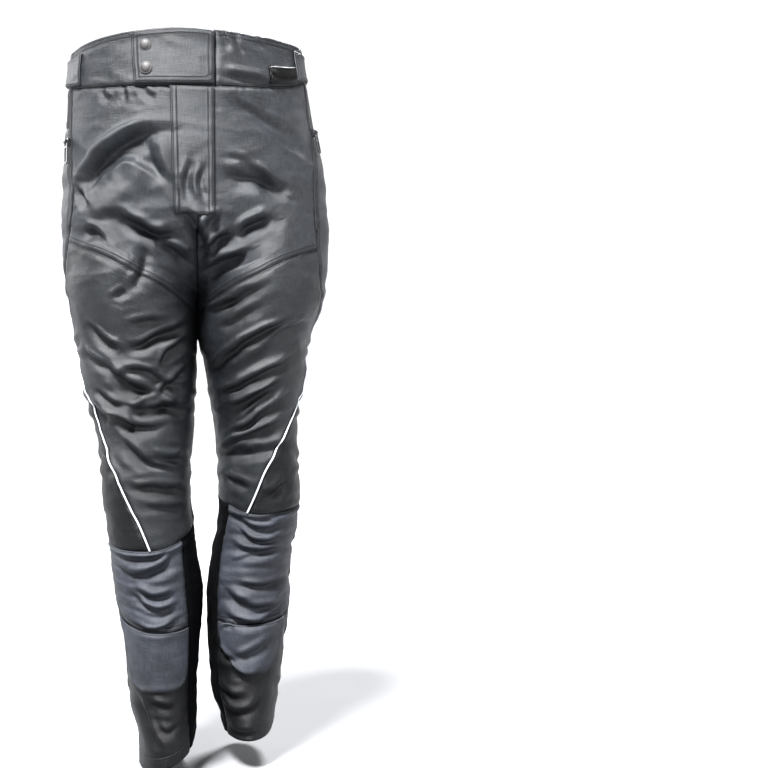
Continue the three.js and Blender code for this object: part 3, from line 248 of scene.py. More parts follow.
# height, centre seam, half width, depth in front, depth behind
SEAT_SECTIONS = (
    (60, -13, 158, 106, 108), (13, -12, 162, 108, 112), (-26, -10, 168, 111, 119),
    (-72, -7, 173, 114, 128), (-101, -4, 178, 116, 133), (-143, -2, 183, 118, 137),
    (-219, 0, 187, 117, 135), (-253, 0, 187, 113, 129), (-301, 0, 183, 106, 120),
    (-420, 0, 165, 96, 108),
)
# height, how far out the middle stands, half width, how far back, half depth
LEG_SECTIONS = {
    RIGHT: (
        (-290, 91.4, 90.9, 0, 110), (-327, 88.3, 87.7, 0, 105), (-381, 83.6, 82.9, -1, 97),
        (-459, 78.5, 75, -5, 86), (-506, 72, 66, -9, 80), (-548, 71.5, 62, -13, 76),
        (-600, 69, 60, -17, 72), (-650, 62.5, 58.5, -19, 72), (-719, 53.5, 60.5, -15, 77),
        (-754, 50, 57, -13, 79), (-801, 48, 50.5, -12, 79), (-866, 47.5, 46.5, -13, 79),
        (-919, 41, 39.5, -16, 80), (-965, 41, 38.5, -18, 80),
    ),
    LEFT: (
        (-290, 91.4, 90.9, 0, 110), (-327, 88.3, 87.7, 0, 105), (-371, 79.5, 78.6, 0, 98),
        (-419, 83.5, 71, 1, 91), (-456, 82, 65, 2, 86), (-506, 83.5, 58, 3, 79),
        (-568, 87, 58, 3, 74), (-622, 86.5, 57, 5, 71), (-680, 76, 57, 9, 74), (-743, 72, 59, 13, 78),
        (-807, 69, 54, 16, 79), (-875, 68, 47, 17, 79), (-909, 71, 38.5, 18, 80),
        (-965, 71, 36, 18, 80),
    ),
}
# The seams and edges that run round the body: turn, height.
WAIST_TOP = {
    RIGHT: ((130, 39), (100, 33), (60, 26), (20, 20), (0, 19), (-60, 25), (-125, 31)),
    LEFT: ((130, 39), (100, 37), (60, 37), (20, 39), (0, 38), (-60, 35), (-125, 31)),
}
WAIST_SEAM = {
    RIGHT: ((130, -40), (90, -40), (60, -38), (30, -32), (10, -27), (-30, -20), (-90, -14), (-125, -14)),
    LEFT: ((130, -40), (90, -33), (60, -25), (30, -12), (10, -7), (-30, -9), (-90, -13), (-125, -14)),
}
RIBBED_FOOT = ((20, -84), (-30, -86), (-90, -98), (-125, -103))
YOKE_SEAM = ((180, -338), (145, -326), (105, -296), (72, -266), (30, -244))
KNEE_SEAM = {
    RIGHT: ((180, -632), (140, -644), (90, -660), (12, -650), (-40, -612), (-120, -592), (-180, -592)),
    LEFT: ((180, -597), (140, -603), (90, -616), (12, -606), (-40, -596), (-120, -590), (-180, -590)),
}
KNEE_FOOT = {
    RIGHT: ((140, -762), (90, -770), (50, -762), (12, -744)),
    LEFT: ((140, -763), (90, -768), (50, -763), (12, -752)),
}
# The seams that run down: height, turn.
OUTSEAM = {
    RIGHT: (
        (-20, 25), (-84, 27), (-143, 31), (-192, 33), (-247, 26), (-281, 19), (-331, 16), (-372, 7.4),
        (-390, 8), (-441, 24), (-475, 33), (-503, 38), (-533, 50), (-562, 60), (-594, 71), (-625, 81),
        (-665, 90),
    ),
    LEFT: (
        (-20, 25), (-84, 29), (-143, 36), (-199, 38), (-247, 36), (-297, 31), (-349, 15), (-372, 7.4),
        (-390, 8), (-422, 22), (-447, 24), (-473, 41), (-513, 64), (-554, 85), (-586, 96),
        (-620, 108),
    ),
}
PIPING_SEAM = (
    (PIPING_BEND_Z, -8), (-235, -2), (-270, 0), (-325, 2), (-372, 5.4), (-385, 6.5),
)
SWEEP_OUTER = (
    (-80, -14), (-180, -27), (-238, -32), (-344, -34), (-380, -40), (-424, -62), (-455, -72),
    (-490, -84), (-525, -101), (-556, -113), (-595, -124),
)
SWEEP_INNER = (
    (-80, -72), (-150, -66), (-200, -65), (-240, -71), (-275, -83), (-305, -101), (-335, -127),
    (-360, -156), (-378, -176),
)
CALF_SEAM = ((CALF_CORNER_Z, -46), (-703, -60), (-737, -68), (-812, -79), (-960, -86))
SHIN_INNER = {
    RIGHT: ((-600, 137), (-650, 130), (-700, 125), (-764, 123), (-860, 124), (-960, 121)),
    LEFT: ((-600, 136), (-650, 138), (-707, 135), (-764, 132), (-860, 128), (-960, 124)),
}
# The shin patches' two sides: height, turn of the inner one, turn of the outer one.
SHIN_PATCHES = {
    RIGHT: (
        (-774, 121, 30), (-790, 121, 32), (-806, 121, 37), (-822, 120, 43), (-838, 116, 54),
        (-849, 104, 70),
    ),
    LEFT: (
        (-773, 127, 44), (-786, 126, 44), (-799, 121, 46), (-812, 114, 51), (-826, 104, 60),
        (-838, 92, 71),
    ),
}
# The folds that the solids have too: the face, both ends as distance across (on the outer and inner faces, to
# the back) and height, how far the middle stands above the straight line, half the width, and the depth.
LARGEST_FOLDS = (
    (FRONT, (-152, -186), (-62, -108), 4, 17, 7),
    (FRONT, (-150, -214), (-66, -156), 0, 18, -4),
    (FRONT, (-150, -240), (-82, -238), 22, 13, 6),
    (FRONT, (-100, -226), (-22, -254), 6, 12, 6),
    (FRONT, (-10, -250), (-4, -290), 0, 13, 6),
    (FRONT, (-108, -326), (-70, -268), 0, 12, 4),
    (FRONT, (-95, -396), (-26, -362), 6, 13, 5),
    (FRONT, (-150, -350), (-108, -398), 0, 12, 4),
    (FRONT, (-128, -446), (-40, -424), -8, 13, 4),
    (FRONT, (-110, -500), (-30, -478), 0, 12, 4),
    (FRONT, (48, -144), (124, -188), 10, 17, 6),
    (FRONT, (52, -66), (140, -112), 8, 15, 3),
    (FRONT, (14, -262), (100, -222), 16, 12, 6),
    (FRONT, (10, -292), (70, -266), 4, 12, 5),
    (FRONT, (24, -440), (138, -366), 0, 12, 5),
    (FRONT, (30, -494), (132, -424), 0, 12, 5),
    (FRONT, (36, -556), (118, -486), 0, 12, 4),
    (FRONT, (-86, -868), (-22, -902), 0, 13, 4),
    (FRONT, (40, -836), (100, -828), -18, 13, 4),
    (BACK, (122, -196), (38, -276), -8, 15, 7),
    (BACK, (160, -274), (52, -292), 0, 15, 6),
    (BACK, (138, -410), (22, -418), 0, 12, 7),
    (BACK, (128, -346), (52, -372), 0, 13, 4),
    (BACK, (-24, -290), (-112, -318), 16, 14, 6),
    (BACK, (-48, -408), (-130, -398), 0, 13, 5),
    (BACK, (-30, -452), (-120, -444), 0, 12, 5),
    (BACK, (120, -470), (40, -500), 0, 13, 4),
    (BACK, (-40, -520), (-120, -512), 0, 12, 5),
    (BACK, (-60, -590), (-125, -580), 0, 12, 4),
    (BACK, (40, -700), (60, -880), 0, 14, 3),
)

SWAY = 3.5  # how far a fold wanders off its curve
SWAY_LONG = 26
SWAY_SEED = 12
DEEPEN = {FRONT: 2.1, BACK: 2.7, OUTER: 0.8, INNER: 0.45}  # how much deeper a face's creases are laid
FACING_FULLY = 1.6  # a fold has its whole depth where the cloth looks its way by 1 / 1.6 or more
FOLD_END = 0.35  # what is left of a large fold's depth at its ends
CREASE_END = 0.1
CREASE_FADE = 3.2  # a crease fades over 1 / 3.2 of its length at each end
CREASE_REACH = 3.8  # half widths
CREASE_STEPS = 14
STEEPEST = 3.2  # millimetres that a crease's upper wall takes at least
# A crease across its curve, in half widths: how far the trough's wall on that side reaches and how square it
# is, then the swell beside it.
ABOVE_CREASE = {"wall": 0.5, "square": 1.8, "high": 0.6, "at": 1.5, "half": 0.7}
BELOW_CREASE = {"wall": 1.25, "square": 1.4, "high": 0.2, "at": 2.4, "half": 0.9}
# Small wrinkles: their size round the body, back to front and up, and their height.
BROAD_WRINKLE = {"long": (70, 70, 30), "high": 2.0}
FINE_WRINKLE = {"long": (27, 27, 15), "high": 0.8}
WRINKLE_LEVEL = 0.3
WRINKLE_APART = 9  # so that the fine ones don't follow the broad ones
# The cloth is flat as far as the first from a zip's slider, then folded more and more over the second.
SLIDER_CALM = (12, 22)
# The legs press together beside the centre seam: half the width of that, how far below the crotch's foot it
# sets in, and over what length upwards it grows.
TOUCH_HALF = 14
TOUCH_FOOT = (4, 12)

# Creases read off the photograph, in its pixels: places along one, half its width and its depth in
# millimetres. A depth less than 0 is a ridge.
FRONT_CREASES_PX = (
    (((80, 196), (104, 161), (165, 137)), 10, 5),
    (((82, 203), (130, 170), (165, 206)), 9, -2.5),
    (((74, 190), (80, 200), (89, 211)), 5, 3),
    (((80, 232), (92, 236), (105, 245)), 7, 3),
    (((116, 219), (137, 232), (160, 240), (176, 234)), 8, 5),
    (((137, 244), (143, 270), (125, 297)), 8, 3),
    (((150, 247), (170, 255), (190, 270)), 8, 4.5),
    (((143, 142), (150, 165), (160, 193)), 12, 3),
    (((100, 92), (103, 100), (110, 108)), 4, 1.2),
    (((120, 90), (124, 99), (122, 108)), 4, 1),
    (((140, 92), (145, 102), (155, 106)), 4, 1.2),
    (((177, 217), (195, 235), (196, 270)), 8, 5),
    (((217, 183), (250, 181), (280, 192)), 10, 4),
    (((220, 160), (250, 172), (280, 190)), 7, 1.6),
    (((220, 103), (255, 118), (292, 137)), 8, 1.6),
    (((202, 236), (208, 226), (221, 220)), 6, 3),
    (((234, 241), (252, 226), (272, 220)), 7, 4),
    (((195, 267), (212, 247), (236, 236)), 7, 3.5),
    (((195, 273), (226, 262), (247, 252)), 7, 4.5),
    (((215, 81), (245, 83), (276, 86)), 7, 2.5),
    (((210, 316), (238, 297), (267, 285)), 6, 2),
    (((215, 332), (240, 316), (262, 305)), 6, 1.6),
    (((216, 34), (222, 44), (226, 56)), 4, 1.2),
    (((232, 34), (236, 46), (243, 57)), 4, 1.2),
    (((248, 32), (252, 42), (262, 50)), 4, 1),
    (((188, 165), (184, 186), (186, 206)), 5, 2),
    (((203, 168), (198, 188), (202, 208)), 5, 2),
    (((79, 320), (96, 336), (120, 353)), 5, 2.6),
    (((80, 344), (92, 362), (108, 368)), 5, 2.4),
    (((123, 352), (146, 344), (168, 334), (188, 322)), 6, 3.4),
    (((128, 331), (143, 323), (165, 327)), 6, 2),
    (((112, 302), (118, 297), (125, 293)), 5, 1.8),
    (((158, 367), (170, 351), (188, 336)), 5, 2.6),
    (((153, 400), (170, 383), (188, 367)), 5, 2.6),
    (((92, 386), (105, 401), (125, 405)), 5, 2.4),
    (((96, 414), (115, 420), (134, 434)), 5, 2.4),
    (((130, 418), (147, 402), (176, 416)), 6, 2.2),
    (((115, 436), (128, 449), (154, 466), (187, 471)), 6, 3),
    (((100, 360), (120, 382), (135, 390), (160, 392)), 7, 3.4),
    (((112, 380), (130, 372), (160, 378)), 6, 2.5),
    (((120, 402), (150, 410), (185, 400)), 7, 3),
    (((150, 372), (170, 385), (188, 384)), 6, 2.5),
    (((112, 418), (140, 428), (170, 424)), 7, 2.5),
    (((150, 415), (170, 408), (190, 412)), 6, 2),
    (((142, 452), (161, 460), (187, 455)), 7, 3),
    (((125, 485), (155, 489), (185, 490)), 6, 2.5),
    (((140, 505), (163, 508), (185, 510)), 5, 1.5),
    (((80, 400), (95, 412), (105, 430)), 8, 3),
    (((88, 452), (100, 462), (112, 480)), 7, 2.5),
    (((202, 318), (217, 307), (236, 300)), 5, 1.8),
    (((208, 376), (228, 354), (254, 337), (290, 321)), 6, 3.4),
    (((264, 346), (288, 330), (312, 318)), 5, 2.4),
    (((212, 402), (235, 386), (268, 371), (298, 350)), 6, 3.6),
    (((221, 412), (254, 397), (282, 379)), 5, 3),
    (((226, 437), (254, 420), (281, 402), (296, 390)), 6, 3.4),
    (((232, 423), (258, 407), (280, 392)), 4, 2),
    (((216, 456), (235, 442), (262, 431), (280, 422)), 5, 3),
    (((217, 460), (234, 451), (250, 447)), 6, 2.5),
    (((225, 457), (258, 452), (290, 442)), 6, 2.5),
    (((220, 477), (235, 484), (250, 490)), 6, 2),
    (((262, 500), (275, 492), (290, 480)), 7, 2.5),
    (((108, 549), (140, 557), (176, 545)), 4, 1.8),
    (((111, 562), (131, 574), (158, 566), (177, 552)), 6, 3.2),
    (((128, 582), (148, 594), (175, 591)), 5, 2.4),
    (((125, 586), (138, 600), (156, 607), (178, 599)), 5, 3),
    (((128, 604), (150, 613), (170, 610)), 4, 1.4),
    (((127, 616), (146, 627), (164, 625), (178, 615)), 4, 2.2),
    (((227, 513), (250, 521), (294, 512)), 4, 1.8),
    (((228, 516), (252, 530), (294, 520)), 5, 3),
    (((232, 527), (251, 543), (291, 536)), 5, 3),
    (((228, 546), (248, 554), (289, 547)), 5, 2.4),
    (((229, 566), (246, 560), (284, 553)), 4, 1.4),
    (((232, 587), (256, 591), (288, 583)), 5, 3),
    (((221, 590), (239, 607), (265, 612), (286, 600)), 6, 3),
    (((221, 619), (247, 627), (273, 620), (284, 608)), 5, 3),
    (((222, 633), (228, 630), (233, 634)), 3, 1.6),
    (((226, 655), (242, 660), (260, 651), (276, 640)), 6, 2.4),
    (((210, 645), (222, 660), (236, 667)), 5, 1.6),
    (((228, 668), (243, 680), (266, 672)), 5, 1.8),
    (((209, 684), (232, 703), (248, 697)), 6, 1.6),
    (((213, 698), (232, 718), (246, 716), (262, 694)), 6, 2),
    (((133, 691), (142, 714), (161, 752)), 5, 2),
    (((144, 694), (160, 703), (176, 701)), 5, 1.6),
    (((152, 716), (166, 728), (180, 720)), 6, 1.4),
    (((222, 735), (240, 742), (258, 736)), 7, 1.6),
)
BACK_CREASES_PX = (
    (((478, 52), (500, 47), (522, 51)), 4, 1.4),
    (((498, 62), (525, 55), (552, 60)), 4, 1.4),
    (((560, 65), (580, 59), (602, 61)), 4, 1.2),
    (((438, 206), (470, 242), (517, 267)), 10, 6),
    (((437, 152), (470, 146), (495, 140)), 6, 2.5),
    (((436, 170), (480, 156), (512, 148)), 6, 2),
    (((430, 184), (452, 176), (470, 172)), 5, 1.5),
    (((464, 137), (490, 144), (513, 147)), 4, 1.2),
    (((518, 242), (532, 236), (548, 236)), 7, 3),
    (((578, 256), (585, 244), (600, 234)), 7, 3),
    (((500, 262), (525, 266), (548, 256)), 9, 4.5),
    (((545, 258), (575, 268), (600, 280)), 10, 4),
    (((580, 205), (590, 180), (604, 160)), 14, 2.5),
    (((405, 262), (440, 266), (470, 272)), 9, 4),
    (((404, 280), (430, 288), (455, 292)), 7, 3),
    (((404, 318), (440, 306), (472, 290)), 8, 3),
    (((402, 330), (430, 322), (470, 318)), 9, 3.5),
    (((422, 360), (470, 366), (516, 363)), 8, 5.5),
    (((440, 375), (460, 372), (490, 380)), 5, 2),
    (((462, 387), (475, 392), (492, 399)), 6, 2.5),
    (((458, 402), (475, 405), (498, 400)), 5, 2),
    (((492, 418), (505, 410), (524, 392)), 8, 3),
    (((430, 345), (445, 350), (470, 345)), 6, 3),
    (((436, 392), (450, 410), (468, 416)), 8, 3),
    (((450, 455), (470, 452), (487, 462)), 7, 2.5),
    (((455, 480), (470, 478), (488, 470)), 6, 2),
    (((553, 370), (580, 364), (612, 352)), 7, 3.5),
    (((552, 390), (580, 391), (615, 382)), 7, 3.5),
    (((556, 410), (575, 415), (600, 418)), 6, 3),
    (((608, 412), (630, 418), (642, 412)), 7, 3),
    (((585, 440), (610, 446), (640, 436)), 7, 4),
    (((567, 448), (580, 455), (600, 457)), 6, 3),
    (((575, 487), (595, 496), (622, 478)), 6, 3),
    (((570, 502), (605, 506), (630, 490)), 5, 2.5),
    (((575, 522), (605, 533), (630, 513)), 6, 3),
    (((600, 560), (612, 548), (628, 545)), 7, 3),
    (((620, 375), (632, 370), (645, 365)), 6, 3),
    (((625, 350), (640, 345), (655, 335)), 7, 3),
    (((590, 330), (615, 325), (640, 318)), 8, 3),
    (((540, 290), (555, 285), (575, 292)), 7, 3),
    (((592, 600), (600, 615), (607, 632)), 7, 3),
    (((590, 625), (602, 640), (615, 656)), 6, 2.5),
    (((585, 670), (600, 690), (612, 705)), 7, 2.5),
    (((505, 530), (512, 560), (508, 600)), 12, 3),
    (((470, 560), (475, 620), (490, 680)), 10, 2),
    (((500, 640), (515, 655), (530, 665)), 7, 2),
    (((485, 690), (495, 680), (500, 672)), 5, 2),
    (((560, 620), (562, 660), (566, 710)), 10, 2),
)
# The same kind of creases on the sides that the photograph doesn't show, by distance to the back and height.
# They are guessed from the ends of the creases in the two tables before.
OUTER_CREASES = (
    (((-60, -150), (0, -172), (64, -158)), 12, 1.2),
    (((-70, -218), (-10, -236), (50, -228)), 14, 1),
    (((-66, -272), (0, -290), (60, -262)), 10, 1.4),
    (((-60, -334), (0, -318), (62, -340)), 9, 2),
    (((-62, -372), (6, -386), (58, -372)), 8, 3.5),
    (((-58, -410), (0, -402), (60, -422)), 8, 3.5),
    (((-54, -448), (8, -462), (60, -446)), 8, 3.5),
    (((-48, -492), (4, -484), (56, -502)), 7, 3),
    (((-46, -528), (8, -544), (50, -530)), 7, 3),
    (((-44, -572), (4, -562), (50, -580)), 7, 3),
    (((-36, -610), (10, -622), (54, -606)), 7, 3),
    (((-30, -652), (14, -664), (56, -650)), 6, 2.5),
    (((-28, -700), (10, -716), (50, -744)), 8, 2.5),
    (((-24, -776), (10, -800), (46, -846)), 8, 2.5),
    (((-50, -850), (0, -868), (40, -860)), 8, 2.5),
)
INNER_CREASES = (
    (((-60, -360), (0, -374), (60, -362)), 8, 3),
    (((-56, -404), (4, -396), (58, -412)), 8, 3),
    (((-54, -444), (0, -458), (56, -446)), 8, 3.5),
    (((-50, -486), (2, -478), (54, -494)), 7, 3),
    (((-46, -530), (6, -544), (50, -532)), 7, 3),
    (((-44, -580), (4, -572), (52, -588)), 7, 3),
    (((-30, -630), (14, -644), (56, -634)), 7, 2.5),
    (((-30, -720), (4, -742), (30, -780)), 9, 2),
    (((-34, -830), (0, -846), (34, -838)), 9, 2),
    (((-30, -896), (4, -906), (36, -896)), 8, 2),
)


# Without a seed the noise would start from the clock, and the folds would differ each run.
noise.seed_set(SWAY_SEED)


def creases():
    """Every small crease as its face, places, half width and depth."""
    for face, rows in ((FRONT, FRONT_CREASES_PX), (BACK, BACK_CREASES_PX)):
        for places, wide, deep in rows:
            yield face, from_photo(face, places), wide, deep
    for face, rows in ((OUTER, OUTER_CREASES), (INNER, INNER_CREASES)):
        for places, wide, deep in rows:
            yield face, places, wide, deep


def mix(a, b, share):
    return a + (b - a) * share


def ease(share):
    s = np.clip(share, 0, 1)
    return s * s * (3 - 2 * s)


def hump(off, half):
    """1 in the middle, which falls smoothly to 0 on both sides."""
    return np.exp(-((off / half) ** 2))


def run_of(points):
    """How far along a line each of its points is."""
    return np.concatenate([[0], np.cumsum(np.linalg.norm(np.diff(points, axis=0), axis=1))])


def read_along(at, run, values):
    """Each column of values at places along a line."""
    return np.stack([np.interp(at, run, column) for column in values.T], -1)


def read(rows, at, column=1):
    """A smooth curve through one column of a table whose keys, in column 0, fall."""
    keys = np.array([row[0] for row in rows][::-1], float)
    values = np.array([row[column] for row in rows][::-1], float)
    slopes = np.empty_like(values)
    slopes[1:-1] = (values[2:] - values[:-2]) / (keys[2:] - keys[:-2])
    slopes[0] = (values[1] - values[0]) / (keys[1] - keys[0])
    slopes[-1] = (values[-1] - values[-2]) / (keys[-1] - keys[-2])
    at = np.clip(at, keys[0], keys[-1])
    i = np.clip(np.searchsorted(keys, at, side="right") - 1, 0, len(keys) - 2)
    span = keys[i + 1] - keys[i]
    t = (at - keys[i]) / span
    return (
        values[i] * (2 * t**3 - 3 * t**2 + 1)
        + span * slopes[i] * (t**3 - 2 * t**2 + t)
        + values[i + 1] * (3 * t**2 - 2 * t**3)
        + span * slopes[i + 1] * (t**3 - t**2)
    )


def of_side(side, tables, at, column=1):
    """The same for a table that each side has its own of; side may be an array."""
    right = read(tables[RIGHT], at, column)
    left = read(tables[LEFT], at, column)
    return np.where(np.asarray(side) == RIGHT, right, left)


def radius(side, turn, z):
    """From a leg's middle to the cloth in one direction. The seat is an ellipse about the centre seam."""
    c = np.cos(np.radians(turn))
    s = np.sin(np.radians(turn))
    out = of_side(side, LEG_SECTIONS, z, 1)
    leg = 1 / np.hypot(c / of_side(side, LEG_SECTIONS, z, 2), s / of_side(side, LEG_SECTIONS, z, 4))
    half = read(SEAT_SECTIONS, z, 2)
    depth = np.where(s > 0, read(SEAT_SECTIONS, z, 3), read(SEAT_SECTIONS, z, 4))
    a = (c / half) ** 2 + (s / depth) ** 2
    b = out * c / half**2
    seat = (-b + np.sqrt(np.maximum(b * b - a * ((out / half) ** 2 - 1), 0))) / a
    return mix(leg, seat, ease((z - CROTCH_Z) / (HIPS_Z - CROTCH_Z)))


def plain(side, turn, z):
    """The cloth before folds."""
    r = radius(side, turn, z)
    across = of_side(side, LEG_SECTIONS, z, 1) + r * np.cos(np.radians(turn))
    x = read(SEAT_SECTIONS, z, 1) + side * across
    y = of_side(side, LEG_SECTIONS, z, 3) - r * np.sin(np.radians(turn))
    return np.stack(np.broadcast_arrays(x, y, z), -1)


def unit(vectors):
    return vectors / np.maximum(np.linalg.norm(vectors, axis=-1, keepdims=True), 1e-9)


def outward(side, turn, z):
    across = plain(side, turn + 1, z) - plain(side, turn - 1, z)
    rise = plain(side, turn, z + 2) - plain(side, turn, z - 2)
    return unit(np.cross(across, rise) * -np.asarray(side)[..., None])


def from_photo(face, places):
    """Places in the photograph as distances across (to the wearer's left) and up."""
    turned = []
    for px, py in places:
        z = (PIXEL_ROW - py) * PIXEL_TALL + ROW_Z
        if face == FRONT:
            turned.append(((px - FRONT_MIDDLE_PX) * FOLD_PIXEL, z))
        else:
            rows, middles = zip(*BACK_MIDDLE_PX)
            turned.append(((np.interp(py, rows, middles) - px) * FOLD_PIXEL, z))
    return turned


def bowed(places):
    """Points along a smooth curve through two to four places."""
    places = np.array(places, float)
    marks = run_of(places)
    marks /= marks[-1]
    share = np.linspace(0, 1, CREASE_STEPS)
    order = len(places) - 1
    return np.stack([np.polyval(np.polyfit(marks, column, order), share) for column in places.T], -1)


def beside(at, curve):
    """How far each place is above a curve, less than 0 below it, and how far along the curve that is."""
    best = np.full(len(at), 1e9)
    above = np.ones(len(at))
    along = np.zeros(len(at))
    steps = len(curve) - 1
    upward = 1 if curve[-1][0] >= curve[0][0] else -1
    for i in range(steps):
        run = curve[i + 1] - curve[i]
        gap = at - curve[i]
        t = np.clip(gap @ run / (run @ run), 0, 1)
        off = np.linalg.norm(gap - t[:, None] * run, axis=1)
        nearer = off < best
        best[nearer] = off[nearer]
        above[nearer] = np.where(run[0] * gap[:, 1] - run[1] * gap[:, 0] >= 0, upward, -upward)[nearer]
        along[nearer] = (i + t[nearer]) / steps
    return best * above, along


def crease_side(off, wall, shape):
    trough = np.exp(-((off / wall) ** shape["square"]))
    return trough - shape["high"] * hump(off - shape["at"], shape["half"])


def crease_shape(off, wide):
    """Across a crease: a swell that overhangs a trough, whose lower side rises slowly."""
    u = np.abs(off / wide)
    above = crease_side(u, max(ABOVE_CREASE["wall"], STEEPEST / wide), ABOVE_CREASE)
    below = crease_side(u, BELOW_CREASE["wall"], BELOW_CREASE)
    return np.where(off >= 0, above, below)


def facing(face, side, normals):
    """How squarely the cloth looks the way that a fold's face does, from 0 to 1."""
    look = {
        FRONT: -normals[:, 1],
        BACK: normals[:, 1],
        OUTER: normals[:, 0] * side,
        INNER: -normals[:, 0] * side,
    }[face]
    return ease(look * FACING_FULLY)


def largest_folds(points, normals, side):
    """The folds that the solids have."""
    depth = np.zeros(len(points))
    for face, start, end, rise, wide, deep in LARGEST_FOLDS:
        run = np.subtract(end, start)
        at = points[:, (0, 2)] - start
        t = np.clip(at @ run / (run @ run), 0, 1)
        middle = t[:, None] * run
        middle[:, 1] += 4 * t * (1 - t) * rise
        off = np.linalg.norm(at - middle, axis=1)
        fade = FOLD_END + (1 - FOLD_END) * ease(4 * t * (1 - t))
        depth += facing(face, side, normals) * deep * hump(off, wide) * fade
    return depth


def small_folds(points, normals, side):
    """Creases laid one by one, which fade towards their ends."""
    depth = np.zeros(len(points))
    sway = np.array([noise.noise_vector(Vector(p) / SWAY_LONG) for p in points]) * SWAY
    for face, places, wide, deep in creases():
        axes = (1, 2) if face in (OUTER, INNER) else (0, 2)
        at = points[:, axes] + sway[:, axes]
        curve = bowed(places)
        reach = CREASE_REACH * wide
        near = np.all((at > curve.min(0) - reach) & (at < curve.max(0) + reach), axis=1)
        look = facing(face, side[near], normals[near])
        if not near.any() or not look.any():
            continue
        off, along = beside(at[near], curve)
        fade = ease(CREASE_FADE * along) * ease(CREASE_FADE * (1 - along))
        left = CREASE_END + (1 - CREASE_END) * fade
        depth[near] += look * DEEPEN[face] * deep * crease_shape(off, wide) * left
    return depth


def crumple(points):
    """Uneven small wrinkles: sharp valleys between soft swells, wider round the body than they are tall."""
    high = np.zeros(len(points))
    for i, p in enumerate(points):
        near = Vector(p / BROAD_WRINKLE["long"])
        fine = Vector(p / FINE_WRINKLE["long"] + (0, 0, WRINKLE_APART))
        broad = abs(noise.noise(near + 0.5 * noise.noise_vector(near)))
        high[i] = BROAD_WRINKLE["high"] * (WRINKLE_LEVEL - broad)
        high[i] += FINE_WRINKLE["high"] * (WRINKLE_LEVEL - abs(noise.noise(fine)))
    return -high


def settled(points, normals, side, folded=1.0):
    """How far the folded cloth lies inside the plain one. Round a zip's slider it lies flat."""
    calm = np.ones(len(points))
    for place in SLIDERS:
        calm *= ease((np.linalg.norm(points - place, axis=1) - SLIDER_CALM[0]) / SLIDER_CALM[1])
    small = small_folds(points, normals, side) + crumple(points)
    return largest_folds(points, normals, side) + folded * calm * small


def inward(side, points, normals):
    """The way that a fold goes: into the cloth, but straight back at the seam that holds both halves."""
    from_seam = side * (points[..., 0] - read(SEAT_SECTIONS, points[..., 2], 1))
    below = CROTCH_FOOT_Z - points[..., 2]
    free = np.maximum(ease(from_seam / SEAM_REACH), ease(below / SEAM_REACH))
    way = normals.copy()
    way[..., 0] *= free
    return way


def touching(points, normals, side):
    """1 on the inner thighs next to the crotch, where the two legs press together."""
    near = hump(points[:, 0] - read(SEAT_SECTIONS, points[:, 2], 1), TOUCH_HALF)
    above = ease((points[:, 2] - CROTCH_FOOT_Z + TOUCH_FOOT[0]) / TOUCH_FOOT[1])
    return facing(INNER, side, normals) * near * above


def seam_valley(inset, points):
    """The cloth is drawn down into a sewn seam, with small puckers beside it."""
    swell = SEAM_SWELL["high"] * hump(inset - SEAM_SWELL["at"], SEAM_SWELL["half"])
    pucker = np.array([noise.noise(Vector(p) / PUCKER["long"]) for p in points])
    gathered = PUCKER["high"] * pucker * np.exp(-inset / PUCKER["reach"])
    return SEAM_DEEP * hump(inset, SEAM_HALF) - swell + gathered


def laid(name, side, turn, z, lift=0.0, wave=None, seams=ALL_EDGES, folded=1.0):
    """The outside of a piece of cloth over a grid of turns and heights, drawn in along its seams."""
    side = np.broadcast_to(side, turn.shape)
    base = plain(side, turn, z)
    across = np.zeros(turn.shape)
    along = np.zeros(turn.shape)
    across[:, 1:] = np.cumsum(np.linalg.norm(np.diff(base, axis=1), axis=2), axis=1)
    along[1:] = np.cumsum(np.linalg.norm(np.diff(base, axis=0), axis=2), axis=0)
    inset = {"left": across, "right": across[:, -1:] - across, "top": along, "foot": along[-1:] - along}
    normals = outward(side, turn, z)
    flat = base.reshape(-1, 3)
    flat_normals = normals.reshape(-1, 3)
    flat_side = side.reshape(-1)
    depth = settled(flat, flat_normals, flat_side, folded)
    if seams:
        nearest = np.min([inset[edge] for edge in seams], axis=0)
        depth += seam_valley(nearest.reshape(-1), flat)
    push = lift + LEGS_MEET * touching(flat, flat_normals, flat_side).reshape(turn.shape)
    if wave is not None:
        rows, columns = turn.shape
        push = push + wave(np.linspace(0, 1, columns)[None, :], np.linspace(0, 1, rows)[:, None])
    sunk = inward(side, base, normals) * depth.reshape(turn.shape)[..., None]
    points = base + normals * push[..., None] - sunk
    middle_row, middle_column = turn.shape[0] // 2, turn.shape[1] // 2
    uv = np.stack(np.broadcast_arrays(across[middle_row][None, :], -along[:, middle_column][:, None]), -1)
    return {"name": name, "points": points, "normals": surface_normals(points, normals), "uv": uv}


def surface_normals(points, hint):
    """The outward direction at each point of a grid, from its neighbours."""
    across = np.gradient(points, axis=1)
    along = np.gradient(points, axis=0)
    normals = unit(np.cross(across, along))
    return normals * np.sign(np.sum(normals * hint, axis=-1, keepdims=True))


def pair_name(sheet):
    return sheet["name"].replace("_right", "").replace("_left", "")


def from_edge(points, edge):
    """How far each point of a grid lies from one edge of it, along the cloth."""
    axis = 0 if edge in ("top", "foot") else 1
    steps = np.linalg.norm(np.diff(points, axis=axis), axis=2)
    start = np.zeros_like(points[:1, :, 0] if axis == 0 else points[:, :1, 0])
    run = np.concatenate([start, np.cumsum(steps, axis=axis)], axis=axis)
    if edge in ("right", "foot"):
        run = run.max(axis=axis, keepdims=True) - run
    return run


